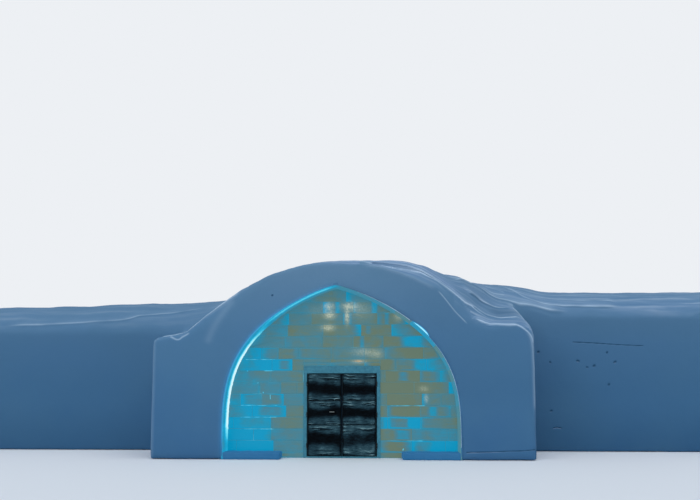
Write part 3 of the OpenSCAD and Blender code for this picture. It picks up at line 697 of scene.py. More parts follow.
def crest_shape(co, normals):
    """How far the drifts' crests raise each point, how pale their painted highlights and the
    portal's front lines make it, and how dark the painted shade on their steep sides is"""
    raised, pale, lee_shade = np.zeros(len(co)), np.zeros(len(co)), np.zeros(len(co))
    ready = (normals[:, 2] > 0.1) & (co[:, 2] > 3.0) & (outside(co) > 0)
    for height, strength, points in CRESTS:
        chosen, distance, taper = near_line(co[:, :2], ready, points, 0.5)
        uneven = 0.75 + 0.8 * field(co[chosen], (0.5, 0.5, 5.0), height * 500)
        behind = distance > 0
        rise = np.where(behind, np.exp(-distance / CREST_BACK), bell(distance, CREST_DROP))
        raised[chosen] = np.maximum(raised[chosen], height * rise * taper)
        # The pale line along the crest and over its gentle side is a painted highlight
        line = np.maximum(bell(distance, CREST_W), 0.3 * behind * np.exp(-np.abs(distance) / 0.1))
        pale[chosen] = np.maximum(pale[chosen], strength * uneven * line * taper)
        # Painted shade on the steep side
        shade = strength * np.where(behind, 0, np.exp(-np.abs(distance) / LEE_W)) * taper
        lee_shade[chosen] = np.maximum(lee_shade[chosen], shade)
    at_side = (co[:, 0] > 4.4) | (co[:, 0] < -2.6)
    ready = (co[:, 1] < FRONT_Y + 0.12 + 0.4 * at_side) & (co[:, 2] > 1.0)
    # Painted highlights along the lines on the portal's front
    for strength, width, points in FRONT_LINES:
        chosen, distance, taper = near_line(co[:, [0, 2]], ready, points, 4 * width)
        pale[chosen] = np.maximum(pale[chosen], strength * bell(distance, width) * taper)
    return raised, np.clip(pale, 0, 1), lee_shade


def damage_depth(co):
    """How deep the pits and cracks are at each point"""
    depths = np.zeros(len(co))
    for wall_y, depth, width, points in DAMAGE:
        ready = (np.abs(co[:, 1] - wall_y) < 0.06) & (outside(co) > 0)
        chosen, distance, _ = near_line(co[:, [0, 2]], ready, points, 4 * width)
        depths[chosen] = np.maximum(depths[chosen], depth * bell(distance, width))
    return depths


def chip(co, gap):
    """Where the chip is on the arch's right front edge: 1 on it, 0 around it"""
    share = np.clip(np.abs(co[:, 2] - CHIP_Z) / CHIP_RUN, 0, 1)
    width = CHIP_W * np.sqrt(1 - share ** 2) * (co[:, 0] > 1)
    return smooth_step((width - np.abs(gap)) / 0.02) * (width > 0)


def smoothed(mesh, weights, rounds, along_x=None):
    """Coordinates after rounds of averaging with the neighbours, as far as the weights say. If
    some vertices are given to be evened along X, only their heights change, and only their
    neighbours to the left and right count"""
    co = coordinates(mesh)
    ends = np.empty(len(mesh.edges) * 2, np.int64)
    mesh.edges.foreach_get("vertices", ends)
    a, b = ends.reshape(-1, 2).T
    axes = range(3)
    if along_x is not None:
        run = np.abs(co[a] - co[b])
        kept = along_x[a] & along_x[b] & (run[:, 1] < 0.35 * np.linalg.norm(run, axis=1))
        a, b = a[kept], b[kept]
        axes = [2]
    count = np.bincount(a, minlength=len(co)) + np.bincount(b, minlength=len(co))
    share = 0.5 * weights * (count > (1 if along_x is not None else 0))
    count = np.maximum(count, 1)
    for _ in range(rounds):
        for k in axes:
            total = np.bincount(a, co[b, k], len(co)) + np.bincount(b, co[a, k], len(co))
            co[:, k] += share * (total / count - co[:, k])
    return co


def refined(mesh):
    """The mesh with smaller faces where crests, edges and damage need them"""
    bm = bmesh.new()
    bm.from_mesh(mesh)
    middles = np.array([f.calc_center_median()[:] for f in bm.faces])
    normals = np.array([f.normal[:] for f in bm.faces])
    shown = outside(middles) > 0
    on_top = (normals[:, 2] > 0.1) & (middles[:, 2] > 3.0) & shown
    on_front = middles[:, 1] < FRONT_Y + 0.1 + 0.4 * (middles[:, 0] > 4.4)
    plan, elevation = middles[:, :2], middles[:, [0, 2]]
    lines = [(plan, on_top, points) for _, _, points in CRESTS]
    lines += [(elevation, on_front, points) for _, _, points in FRONT_LINES]
    lines += [(elevation, (np.abs(middles[:, 1] - wall_y) < 0.06) & shown, points)
              for wall_y, _, _, points in DAMAGE]
    fine = np.zeros(len(middles), bool)
    for places, ready, points in lines:
        chosen, distance, _ = near_line(places, ready, points, 0.12)
        fine[chosen[np.abs(distance) < FINE_W]] = True
    gap, _ = arch_gap(middles, middles[:, 1] < FRONT_Y + 0.15)
    fine |= np.abs(gap) < FINE_ARCH_W
    edges = list({e for f, wanted in zip(bm.faces, fine) if wanted for e in f.edges})
    bmesh.ops.subdivide_edges(bm, edges=edges, cuts=3, use_grid_fill=True)
    small = mesh_of(bm, "refined")
    co = smoothed(small, np.ones(len(small.vertices)), 2)
    move_vertices(small, co)
    return small


def lip_share(x, z):
    """How far up the chamfer on the portal's front top edge each place is, from 0 to 1"""
    low = np.interp(x, *zip(*LIP_CREASE))
    high = np.interp(x, *zip(*LIP_RIDGE))
    return np.clip((z - low) / np.maximum(high - low, 0.02), 0, 1)


def cut_lip(co):
    """Cuts the chamfer along the top of the portal's front"""
    x, y, z = co.T
    near = smooth_step((x - 0.5) / 0.4) * (1 - smooth_step((x - 3.3) / 0.3)) * (y < FRONT_Y + 0.25)
    co[:, 1] += near * np.maximum(0, FRONT_Y + LIP_BACK * lip_share(x, z) ** 1.2 - y)
    return co


def true_the_arch(co, normals):
    """Brings the reveal back onto the arch's line, which the smoothing has left"""
    gap, away = arch_gap(co, (co[:, 1] < BACK_Y - 1.1) & (co[:, 2] > 0.02))
    facing = smooth_step((-(normals * away).sum(axis=1) - 0.3) / 0.4)
    return co - away * (gap * facing * (np.abs(gap) < 0.12))[:, None]


def raise_snow(co, normals):
    """Lifts the portal's front edge and the swells behind it to the heights they have"""
    x, y, z = co.T
    steps = np.arange(-4.2, 5.3, 0.05)
    table = np.interp(steps, *zip(*FRONT_RAISE))
    table = np.convolve(np.pad(table, 4, "edge"), np.ones(9) / 9, "valid")
    edge_z = CROWN_H - x * x / CROWN_SPAN
    low = smooth_step((z - edge_z + 0.5) / 0.4)
    lift = np.interp(x, steps, table) * low * (1 - smooth_step((y + 3.2) / 1.4))
    for sx, sy, rx, ry, height in SWELLS:
        lift += height * bell(x - sx, rx) * bell(y - sy, ry) * up_facing(normals)
    co[:, 2] += lift * outside(co)
    return co


def round_right_corner(co):
    """The portal's right front corner is worn round, more and more towards its top, and the
    shoulder over it sinks"""
    x, y, z = co.T
    sink = 0.09 * smooth_step((x - HALF_W + 0.6) / 0.6) * (1 - smooth_step((y - FRONT_Y) / 0.8))
    co[:, 2] -= sink * smooth_step((z - 2.8) / 0.6)
    r = CORNER_LOW_R + (CORNER_TOP_R - CORNER_LOW_R) * smooth_step((z - 1.2) / 2.0)
    dx = x - (HALF_W - r)
    dy = (FRONT_Y + r) - y
    distance = np.hypot(dx, dy)
    outer = (dx > 0) & (dy > 0) & (distance > r)
    co[outer, 0] = (HALF_W - r + dx * r / np.maximum(distance, r))[outer]
    co[outer, 1] = (FRONT_Y + r - dy * r / np.maximum(distance, r))[outer]
    return co


def stream_share(co, ready):
    """Which wind line each point that is ready lies on, with shares between the lines"""
    share = np.zeros(len(co))
    places = co[ready][:, :2]
    sides = [line_distance(places, curve_through(points))[0] for points in STREAMS]
    for near, far in zip(sides, sides[1:]):
        share[ready] += np.clip(near / np.maximum(near - far, 1e-6), 0, 1)
    return share


def wind_place(co, stream):
    """Places for the silky lines: across the wind, and far slower along it. Left of the wind
    lines' starts they run straight on"""
    x, y, z = co.T
    before = np.interp(y, [points[0][1] for points in STREAMS], STREAM_PLACES)
    streams = np.interp(stream, range(len(STREAMS)), STREAM_PLACES)
    across = before + (streams - before) * smooth_step((x + 0.5) / 0.5)
    on_lip = (y < FRONT_Y + 0.24) & (x < 3.4) & (lip_share(x, z) > 0)
    across = np.where(on_lip, 12.0 + 0.3 * lip_share(x, z), across)
    return np.stack([across, 0.05 * (x + y), np.zeros(len(co))], 1)


def blown_skin():
    """All the snow blocks as one skin, smoothed by the wind on top and in the corners between
    the portal and the wings"""
    nodes = [name for names in SNOW_NODES.values() for name in names]
    mesh = with_modifiers(joined_nodes(nodes),
                          ("REMESH", {"mode": "VOXEL", "voxel_size": VOXEL}),
                          ("SMOOTH", {"factor": 0.5, "iterations": 2}))
    co, normals = coordinates(mesh), vertex_normals(mesh)
    top = (up_facing(normals) > 0.2) & (outside(co) > 0) & (co[:, 2] > 3)
    even = top * (1 - 0.85 * smooth_step(co[:, 0] - 2.0) * (co[:, 0] < HALF_W))
    move_vertices(mesh, smoothed(mesh, even, 60, along_x=top))
    inner = smooth_step((co[:, 1] - FRONT_Y - LIP_D) / 0.3)
    move_vertices(mesh, smoothed(mesh, up_facing(normals) * inner * outside(co), 40))
    co = coordinates(mesh)
    nook = bell(np.abs(co[:, 0]) - HALF_W, 0.3) * bell(co[:, 1] - FACE_Y, 0.4)
    move_vertices(mesh, smoothed(mesh, nook * smooth_step((co[:, 2] - 3.7) / 0.3) * outside(co), 60))
    return mesh


def snow_shell():
    """The skin in its final shape: with its edges, crests, unevenness and damage, and painted"""
    mesh = blown_skin()
    move_vertices(mesh, raise_snow(coordinates(mesh), vertex_normals(mesh)))
    mesh = refined(mesh)
    co = cut_lip(true_the_arch(coordinates(mesh), vertex_normals(mesh)))
    move_vertices(mesh, co)
    normals = vertex_normals(mesh)
    shown = outside(co)
    raised, pale, lee_shade = crest_shape(co, normals)
    dented = damage_depth(co)
    gap, _ = arch_gap(co, co[:, 1] < FRONT_Y + 0.5)
    chipped = chip(co, gap)
    wave = (WALL_WAVE + (ROOF_WAVE - WALL_WAVE) * up_facing(normals)) * shown
    push = wave * field(co, 0.9) + 0.35 * wave * field(co, 0.28, 5.0) + raised - dented
    push -= WALL_WAVE * shown * (1 - up_facing(normals))
    co = round_right_corner(co + normals * push[:, None])
    co[:, 1] += CHIP_D * chipped * (co[:, 1] < FRONT_Y + 0.06)
    move_vertices(mesh, np.clip(co, *np.array(CAD_BOX)))
    paint_snow(mesh, pale, lee_shade, dented, gap, chipped)
    mesh.shade_smooth()
    return mesh


def hollow(stream, x):
    """The sheltered hollow on the right shoulder, where shade is painted: 1 in its middle, 0 outside it
    """
    return bell(stream - 1.6, 0.4) * smooth_step((x - 3.9) / 0.5)


def fresh_snow_less_shade(co, up, stream, lee_shade):
    """How much new snow lies on the roof: a dusting left of the crown, a cover right of it,
    bands on the shoulder and some along the wings' crests. Painted shade takes it back on the
    steep sides of the drifts and in the hollow"""
    x, y, z = co.T
    crown = 0.17 + 0.7 * smooth_step((x + 1.0) / 1.6)
    shoulder = np.interp(stream, *zip(*SHOULDER_FRESH))
    fresh_less_shade = crown + (shoulder - crown) * smooth_step((x + 0.3 * stream - 3.2) / 0.6)
    # Painted shade on the steep sides of the drifts
    fresh_less_shade *= up * (1 - 0.75 * lee_shade * smooth_step((x - 2.4) / 0.5))
    # Painted shade in the hollow
    fresh_less_shade *= 1 - 0.6 * hollow(stream, x)
    lip = smooth_step((x - 0.5) / 0.4) * (1 - smooth_step((x - 2.3) / 0.7)) * (y < FRONT_Y + 0.22)
    share = lip_share(x, z)
    on_lip = 0.55 * lip * smooth_step(share / 0.4) * (1 - 0.5 * smooth_step((x - 1.9) / 0.6))
    fresh_less_shade = np.where((share > 0) & (lip > 0), on_lip, fresh_less_shade)
    return fresh_less_shade + 0.35 * up * bell(y - 0.35, 0.4) * smooth_step(np.abs(x) - 4.0)


def corner_highlights(co, normals):
    """The painted highlight on the portal's rounded front corners, strongest high on the right one"""
    x, y, z = co.T
    facing = normals[:, 0]
    right = smooth_step((facing - 0.2) / 0.3) * (1 - smooth_step((facing - 0.93) / 0.06))
    # The painted highlight on the right corner, then the weaker one on the left
    worn = 0.2 * right * smooth_step((z - 0.6) / 2.4) * (x > HALF_W - 0.4) * (x < HALF_W + 0.02)
    worn += 0.12 * smooth_step((-facing - 0.2) / 0.3) * (np.abs(x + HALF_W) < 0.2)
    return worn * (y < FACE_Y)


def icy_snow_and_shade(co, up, stream, dented):
    """How much dark blue the snow gets: painted shade on the wings' walls, most at the foot, where
    the snow is also icier, on the right half of the portal's front, in the hollow, on the roofs'
    slopes, and in the pits and cracks"""
    x, y, z = co.T
    on_portal = np.abs(x) < HALF_W
    on_wing = np.where(y < 1.5, smooth_step((np.abs(x) - HALF_W + 0.02) / 0.04), 0.7) * (1 - up)
    nook = bell(np.abs(x) - HALF_W, 0.9)
    # Painted shade on the wings' walls, most at the foot, where the snow is also icier, and less of it in
    # the nook beside the portal
    icy_and_shade = on_wing * (0.27 - 0.14 * nook + 0.24 * (1 - smooth_step(z / 1.6)))
    # Painted shade on the right half of the portal's front
    icy_and_shade += 0.13 * smooth_step((x - 0.5) / 2.0) * (1 - up) * on_portal * smooth_step(z - 0.9)
    # Painted shade in the hollow
    icy_and_shade += up * (0.4 * hollow(stream, x) * (y < FACE_Y))
    # Painted shade on the roofs' slopes
    icy_and_shade += up * (0.1 + 0.05 * (x < -1)) * smooth_step((np.abs(x) - 3.0) / 2.0) * (y > FACE_Y - 0.3)
    # Painted shade in the pits and cracks
    return np.maximum(icy_and_shade, smooth_step(dented / 0.012))


def light_through(co, gap, chipped):
    """How much of the lamps' light comes through the snow around the arch: a broad halo on the
    left, a thin line on the right, and the chip"""
    x, y, z = co.T
    out = np.maximum(gap, 0)
    halo = 0.62 * np.exp(-(out / 0.05) ** 1.3) * smooth_step((0.3 - x) / 1.2)
    halo *= 0.25 + 0.75 * smooth_step((z + 0.2) / 0.9)
    halo *= 1 - 0.45 * smooth_step((z - 3.4) / 1.1)
    right = 0.3 * np.exp(-out / 0.015) * (x > 1.5) * (1 - smooth_step((z - 3.3) / 0.2))
    on_face = smooth_step((FRONT_Y + 0.35 - y) / 0.3) * (gap < 1)
    return np.maximum(np.maximum(halo, right), chipped) * on_face


def paint_snow(mesh, pale, lee_shade, dented, gap, chipped):
    """The amounts of new snow, painted highlight, painted shade with icier snow, and lamp light
    that the material shows, the places of its silky lines, and the normals that the parts keep"""
    co, normals = coordinates(mesh), vertex_normals(mesh)
    shown = outside(co)
    up = up_facing(normals)
    on_top = (normals[:, 2] > 0.1) & (co[:, 2] > 2.8) & (shown > 0) & (co[:, 0] > -1)
    stream = stream_share(co, on_top)
    set_attribute(mesh, "fresh_less_shade", fresh_snow_less_shade(co, up, stream, lee_shade) * shown)
    # The crest amounts are painted highlights: on the drifts' crests, along the front's lines and on the
    # corners
    set_attribute(mesh, "crest", np.maximum(pale, corner_highlights(co, normals)) * shown)
    set_attribute(mesh, "icy_and_shade", np.where(shown > 0, icy_snow_and_shade(co, up, stream, dented), 0.3))
    set_attribute(mesh, "glow", light_through(co, gap, chipped))
    set_attribute(mesh, "wind", wind_place(co, stream), "vector")
    set_attribute(mesh, "kept_normal", normals, "vector")


def cut_part(mesh, planes, name):
    """The part of a closed mesh on the inner side of some planes, each a point and an outward
    direction, with flat caps on the cuts. It keeps the whole mesh's normals, so that no seam
    shows where two parts meet"""
    bm = bmesh.new()
    bm.from_mesh(mesh)
    for point, outward in planes:
        rim = [e for e in sliced(bm, point, outward, dist=1e-6) if e.is_boundary]
        bmesh.ops.triangle_fill(bm, edges=rim, use_beauty=True, normal=Vector(outward))
    part = mesh_of(bm, name)
    normals = np.empty(len(part.vertices) * 3, np.float32)
    part.attributes["kept_normal"].data.foreach_get("vector", normals)
    part.attributes.remove(part.attributes["kept_normal"])
    part.shade_smooth()
    part.normals_split_custom_set_from_vertices(normals.reshape(-1, 3))
    return part


def snow_pieces():
    """The skin cut along the planes of the solids: portal, hall and the two wings"""
    shell = snow_shell()
    left = ((-HALF_W, 0, 0), (-1, 0, 0))
    right = ((HALF_W, 0, 0), (1, 0, 0))
    face = (0, FACE_Y, 0)
    cuts = {
        "snow_portal": [left, right, (face, (0, 1, 0))],
        "snow_hall": [left, right, (face, (0, -1, 0))],
        "snow_left_wing": [((-HALF_W, 0, 0), (1, 0, 0))],
        "snow_right_wing": [((HALF_W, 0, 0), (-1, 0, 0))],
    }
    for name, planes in cuts.items():
        piece = new_piece(cut_part(shell, planes, name), name, "snow")
        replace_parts(piece, *SNOW_NODES[name])
    bpy.data.meshes.remove(shell)


KERB_VOXEL = 0.03


def kerbs():
    """The trodden snow kerbs below the ice wall, as low rounded lumps"""
    for side in ("left", "right"):
        mesh = with_modifiers(joined_nodes([side + "_kerb"]),
                              ("REMESH", {"mode": "VOXEL", "voxel_size": KERB_VOXEL}),
                              ("SMOOTH", {"factor": 0.5, "iterations": 3}))
        co, normals = coordinates(mesh), vertex_normals(mesh)
        co += normals * (0.012 * field(co, 0.22) + 0.006 * field(co, 0.07, 2.0) - 0.008)[:, None]
        co[:, 2] = np.maximum(co[:, 2], 0.0)
        move_vertices(mesh, co)
        # Darker all over, and a painted cyan glow of the ice's light that spills on them, stronger
        # towards the wall
        set_attribute(mesh, "icy_and_shade", np.full(len(co), 0.55))
        set_attribute(mesh, "glow", 0.23 + 0.12 * smooth_step((co[:, 1] - FRONT_Y) / 0.5))
        mesh.shade_smooth()
        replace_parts(new_piece(mesh, side + "_snow_kerb", "snow"), side + "_kerb")


# The crust of rime: how far it stands out of the reveal and reaches into the snow
RIME_IN = 0.02
RIME_OUT = 0.02
RIME_ROWS = 12
RIME_COLUMNS = 300


def reveal_rime():
    """A crust of rime along the arch's reveal, lit strongly on the left and hardly on the right"""
    curve = arch_line()
    lengths = distances_along(curve)
    steps = np.linspace(0.01, lengths[-1] - 0.01, RIME_COLUMNS)
    line = np.stack([np.interp(steps, lengths, curve[:, 0]), np.zeros(len(steps)),
                     np.interp(steps, lengths, curve[:, 1])], 1)
    tangent = np.gradient(line, axis=0)
    tangent /= np.linalg.norm(tangent, axis=1)[:, None]
    inward = np.stack([tangent[:, 2], np.zeros(len(steps)), -tangent[:, 0]], 1)
    depths = np.linspace(FRONT_Y + 0.03, ICE_Y + 0.02, RIME_ROWS)
    back, front = [np.array([line + offset * inward + (0, y, 0) for y in depths])
                   for offset in (-RIME_OUT, RIME_IN)]
    places = front.reshape(-1, 3)
    rough = field(places, 0.1).reshape(front.shape[:2])
    barb = field(places, (0.4, 0.8, 0.06), 8.0).reshape(front.shape[:2])
    barb = np.maximum(barb - 0.2, 0) * (front[:, :, 0] < -0.5)
    front = front + inward[None] * (0.004 * rough + 0.03 * barb)[:, :, None]
    mesh = mesh_of(closed_skin(back, front), "reveal_rime")
    co = coordinates(mesh)
    depth = (co[:, 1] - FRONT_Y) / (ICE_Y - FRONT_Y)
    x, _, height = co.T
    core = (0.4 + 0.6 * smooth_step((height - 0.2) / 0.9)) * (1 - 0.5 * smooth_step((height - 2.7) / 1.4))
    bright = 0.3 + (0.95 * core - 0.3) * smooth_step((depth - 0.2) / 0.65)
    bright += 0.12 * field(co, (0.5, 0.5, 0.25), 3.0)
    high = smooth_step((height - 3.1) / 0.9)
    bright += high * (0.14 + 0.46 * bell(depth - 0.25, 0.3) - bright)
    course = np.floor((height - FIRST_JOINT_Z) / COURSE_H)
    tints = np.array([random.Random(int(k) + 20).choice((0.0, 0.02, 0.06, 0.12, 0.24))
                      for k in range(-1, 20)])
    dim = np.where(height < 3.9, tints[np.clip(course + 1, 0, 20).astype(int)] + 0.04, 0.15)
    dim += 0.1 * np.maximum(field(co, 0.2), 0)
    share = smooth_step((0.05 - x) / 0.5)
    set_attribute(mesh, "glow", np.clip(dim + (bright - dim) * share, 0, 1))
    mesh.shade_smooth()
    new_piece(mesh, "reveal_rime", "rime")


# Ice wall

# Courses and blocks: the courses' height, the height of the lowest joint, the usual length of a
# block, how many blocks are short, the joints' width, the blocks' bevel and the slush between
# them and the arch
COURSE_H = 0.315
FIRST_JOINT_Z = 0.15
BLOCK_L = 0.95
SHORT_SHARE = 0.3
JOINT = 0.008
BLOCK_EDGE = 0.009
ARCH_GAP = 0.02

# How much thinner than the wall the blocks and the slush are, and the least width and height of
# a block that is laid
BLOCK_THINNER = 0.03
SLUSH_THINNER = 0.07
LEAST_BLOCK_W = 0.07
LEAST_BLOCK_H = 0.05

# The paler ring along a block's front edges
RING_W = 0.03

# Lamps behind the ice, each with its place across, its height, how far it shines both ways
# and how strongly. The last one is amber
LAMPS = [(-0.34, 3.88, 0.14, 0.1, 0.9), (-0.36, 4.12, 0.13, 0.1, 0.8), (-0.38, 3.53, 0.16, 0.08, 0.8),
         (0.22, 4.12, 0.2, 0.09, 0.8), (0.14, 3.85, 0.06, 0.2, 0.8), (-0.7, 4.0, 0.25, 0.14, 0.1),
         (0.5, 4.0, 0.3, 0.2, 0.25), (1.55, 3.86, 0.11, 0.13, 0.55), (0.62, 2.86, 0.3, 0.1, 0.4),
         (0.95, 2.8, 0.15, 0.1, 0.35), (2.22, 1.86, 0.12, 0.07, 0.35), (2.28, 1.6, 0.05, 0.1, 0.5),
         (0.47, 2.6, 0.2, 0.05, 0.5)]
AMBER_LAMPS = [(0.45, 2.61, 0.09, 0.03, 0.55)]
LAMP_STEP = 0.035


def block_rows(rng):
    """The outlines of the blocks, course by course, each (x0, x1, z0, z1), in broken bond"""
    z = FIRST_JOINT_Z - COURSE_H
    course = 0
    while z < ARCH_H:
        x = -ARCH_HALF_W - BLOCK_L * (0.5 if course % 2 else 0.0) - rng.uniform(0.05, 0.35)
        while x < ARCH_HALF_W:
            length = BLOCK_L * (rng.uniform(0.42, 0.65) if rng.random() < SHORT_SHARE
                                else rng.uniform(0.85, 1.1))
            yield x, x + length, max(z, 0.0), z + COURSE_H
            x += length
        z += COURSE_H
        course += 1


def outside_doorway(x0, x1, z0, z1):
    """What a block keeps beside and above the door frame"""
    if z0 >= FRAME_TOP or x0 >= FRAME_HALF_W or x1 <= -FRAME_HALF_W:
        return [(x0, x1, z0, z1)]
    kept = []
    if x0 < -FRAME_HALF_W - 0.08:
        kept.append((x0, -FRAME_HALF_W, z0, z1))
    if x1 > FRAME_HALF_W + 0.08:
        kept.append((FRAME_HALF_W, x1, z0, z1))
    if z1 > FRAME_TOP + 0.04:
        split = (FRAME_TOP + z1) / 2
        kept.append((max(x0, -FRAME_HALF_W), min(x1, FRAME_HALF_W), FRAME_TOP, split))
        kept.append((max(x0, -FRAME_HALF_W), min(x1, FRAME_HALF_W), split, z1))
    return kept


def arch_planes():
    """Upright planes along the arch, each a point on it and its outward direction"""
    curve = arch_line()[::3]
    planes = []
    for a, b in zip(curve, curve[1:]):
        run, rise = (b - a) / np.linalg.norm(b - a)
        outward = Vector((-rise, 0.0, run))
        planes.append((Vector((a[0], ICE_Y, a[1])) - ARCH_GAP * outward, outward))
    return planes


def ice_block(box, planes, rng):
    """One sawn block: a bevelled cube, cut to the arch where it meets it, slightly out of true"""
    x0, x1, z0, z1 = box
    bm = bmesh.new()
    gap = JOINT / 2
    size = (x1 - x0 - 2 * gap, ICE_T - BLOCK_THINNER, z1 - z0 - 2 * gap)
    middle = ((x0 + x1) / 2, ICE_Y + ICE_T / 2 + rng.uniform(-0.01, 0.012), (z0 + z1) / 2)
    bmesh.ops.create_cube(bm, size=1.0, matrix=Matrix.LocRotScale(middle, None, size))
    for point, outward in planes:
        if max((v.co - point).dot(outward) for v in bm.verts) < 1e-4:
            continue
        rim = sliced(bm, point, outward)
        if not bm.faces:
            return None
        bmesh.ops.holes_fill(bm, edges=rim, sides=0)
    low_x, high_x = [limit(v.co.x for v in bm.verts) for limit in (min, max)]
    low_z, high_z = [limit(v.co.z for v in bm.verts) for limit in (min, max)]
    if high_x - low_x < LEAST_BLOCK_W or high_z - low_z < LEAST_BLOCK_H:
        return None
    bmesh.ops.remove_doubles(bm, verts=bm.verts, dist=0.004)
    bmesh.ops.bevel(bm, geom=bm.edges[:], offset=BLOCK_EDGE * rng.uniform(0.6, 1.3),
                    affect="EDGES", segments=2, profile=0.5, material=-1, clamp_overlap=True)
    divide_front(bm, low_x, high_x, low_z, high_z)
    return bm


def divide_front(bm, low_x, high_x, low_z, high_z):
    """Gives a block's front a ring for the edge's tint, and points for its own tint. Where lamps
    shine it gets a finer grid"""
    width, height = high_x - low_x, high_z - low_z
    edge = bm.verts.layers.float.new("edge")
    for v in bm.verts:
        v[edge] = 1.0
    front = max((f for f in bm.faces if f.normal.y < -0.9), key=lambda f: f.calc_area())
    ring = min(RING_W, 0.2 * min(width, height))
    bmesh.ops.inset_region(bm, faces=[front], thickness=ring, use_even_offset=True)
    for v in front.verts:
        v[edge] = 0.0
    near_lamp = max(lamp_light(low_x + width * i / 8, low_z + height * j / 4, lamps)
                    for i in range(9) for j in range(5) for lamps in (LAMPS, AMBER_LAMPS)) > 0.04
    if near_lamp:
        for axis, low, high in ((0, low_x, high_x), (2, low_z, high_z)):
            for k in range(1, math.ceil((high - low) / LAMP_STEP)):
                place, normal = Vector(), Vector()
                place[axis], normal[axis] = low + k * LAMP_STEP, 1.0
                sliced(bm, place, normal, clear_outer=False)
    elif len(front.verts) == 4:
        bmesh.ops.subdivide_edges(bm, edges=front.edges[:], cuts=11, use_grid_fill=True)


def lamp_light(x, z, lamps):
    """How much light the lamps behind the wall throw on a place in it"""
    return min(1.0, sum(strength * math.exp(-((x - lx) / rx) ** 2 - ((z - lz) / rz) ** 2)
                        for lx, lz, rx, rz, strength in lamps))


# Patches of clear, cyan ice, each with its place, its half width and half height, and how blue
CLEAR_ICE = [(1.93, 3.17, 0.32, 0.16, 0.8), (2.18, 2.55, 0.22, 0.18, 0.7), (1.68, 2.22, 0.12, 0.17, 0.6),
             (0.89, 4.07, 0.08, 0.11, 0.6), (1.23, 3.8, 0.06, 0.15, 0.5),
             (0.72, 3.46, 0.05, 0.2, 0.35), (0.55, 3.15, 0.06, 0.12, 0.5), (-0.12, 4.07, 0.06, 0.13, 0.5),
             (0.23, 3.76, 0.05, 0.2, 0.35), (1.76, 3.48, 0.05, 0.18, 0.5),
             (1.94, 0.9, 0.16, 0.2, 0.9), (1.66, 0.6, 0.2, 0.16, 0.7), (1.22, 0.95, 0.1, 0.3, 0.4),
             (2.75, 0.3, 0.35, 0.3, 0.6), (2.46, 1.23, 0.12, 0.12, 0.6), (-2.2, 2.5, 0.45, 0.17, 0.6),
             (-2.9, 0.5, 0.8, 0.5, 0.6), (-1.2, 2.75, 0.12, 0.12, 0.4), (-2.3, 3.3, 0.4, 0.3, 0.15)]


def clear_ice(x, z):
    """How much bluer the ice is at a place, for the patches of clear ice"""
    return sum(blue * math.exp(-abs((x - cx) / rx) ** 5 - abs((z - cz) / rz) ** 3)
               for cx, cz, rx, rz, blue in CLEAR_ICE)


def block_tint(x, z, rng):
    """How tan a block is: cyan along the left edge and the foot, olive in the middle"""
    left = smooth_step((-x - 0.3) / 2.4)
    right = smooth_step((x - 2.1) / 0.9)
    foot = (1 - smooth_step((z - 0.3) / 0.6)) * smooth_step((abs(x) - 1.3) / 1.0)
    top = smooth_step((z - 3.7) / 0.7)
    tan = 0.84 - 0.4 * left - 0.12 * right - 0.4 * foot - 0.25 * top
    tan += 0.1 * math.exp(-((x + 1.6) / 0.5) ** 2 - ((z - 2.05) / 0.3) ** 2)
    tan += 0.06 * math.exp(-((x - 1.3) / 1.0) ** 2) * (z < 3.2)
    return tan + rng.gauss(0.0, 0.09)


def end_tints(rng):
    """Clear ends of a block: on each side, how much bluer it is and how wide that is"""
    return [(rng.uniform(0.3, 0.8), rng.uniform(0.05, 0.2)) if rng.random() < 0.24
            else (0.0, 0.1) for _ in range(2)]


def wall_part(x, z):
    """Which part of the wall a block with its middle there belongs to"""
    if abs(x) < FRAME_HALF_W and z > FRAME_TOP:
        return "upper_ice"
    return "left_ice" if x < 0 else "right_ice"


def lay_block(target, made, box, rng):
    """Adds a finished block to its part of the wall, with the tints and the lamps' light"""
    x0, x1, z0, z1 = box
    x, z = (x0 + x1) / 2, (z0 + z1) / 2
    base = block_tint(x, z, rng)
    slope = rng.uniform(-0.3, 0.3)
    (left_drop, left_w), (right_drop, right_w) = end_tints(rng)
    layers = [target.verts.layers.float[kind] for kind in BLOCK_ATTRIBUTES]
    edge = made.verts.layers.float["edge"]
    copies = {}
    for v in made.verts:
        copy = copies[v] = target.verts.new(v.co)
        vx, _, vz = v.co
        tint = base + slope * (vx - x) - left_drop * math.exp(-((vx - x0) / left_w) ** 2)
        tint -= right_drop * math.exp(-((vx - x1) / right_w) ** 2) + clear_ice(vx, z)
        values = (tint, lamp_light(vx, vz, LAMPS), lamp_light(vx, vz, AMBER_LAMPS), v[edge])
        for layer, value in zip(layers, values):
            copy[layer] = value
    for face in made.faces:
        target.faces.new([copies[v] for v in face.verts])
    made.free()


def ice_wall():
    """The wall of sawn blocks, as one piece left, one right and one above the door"""
    rng = random.Random(11)
    planes = arch_planes()
    parts = {name: bmesh.new() for name in ("left_ice", "right_ice", "upper_ice")}
    for bm in parts.values():
        for kind in BLOCK_ATTRIBUTES:
            bm.verts.layers.float.new(kind)
    for outline in block_rows(rng):
        for box in outside_doorway(*outline):
            made = ice_block(box, planes, rng)
            if made:
                middle = (box[0] + box[1]) / 2, (box[2] + box[3]) / 2
                lay_block(parts[wall_part(*middle)], made, box, rng)
    for name, bm in parts.items():
        mesh = mesh_of(bm, name + "_blocks")
        mesh.shade_flat()
        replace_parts(new_piece(mesh, name + "_blocks", "ice"), name + "_wall")


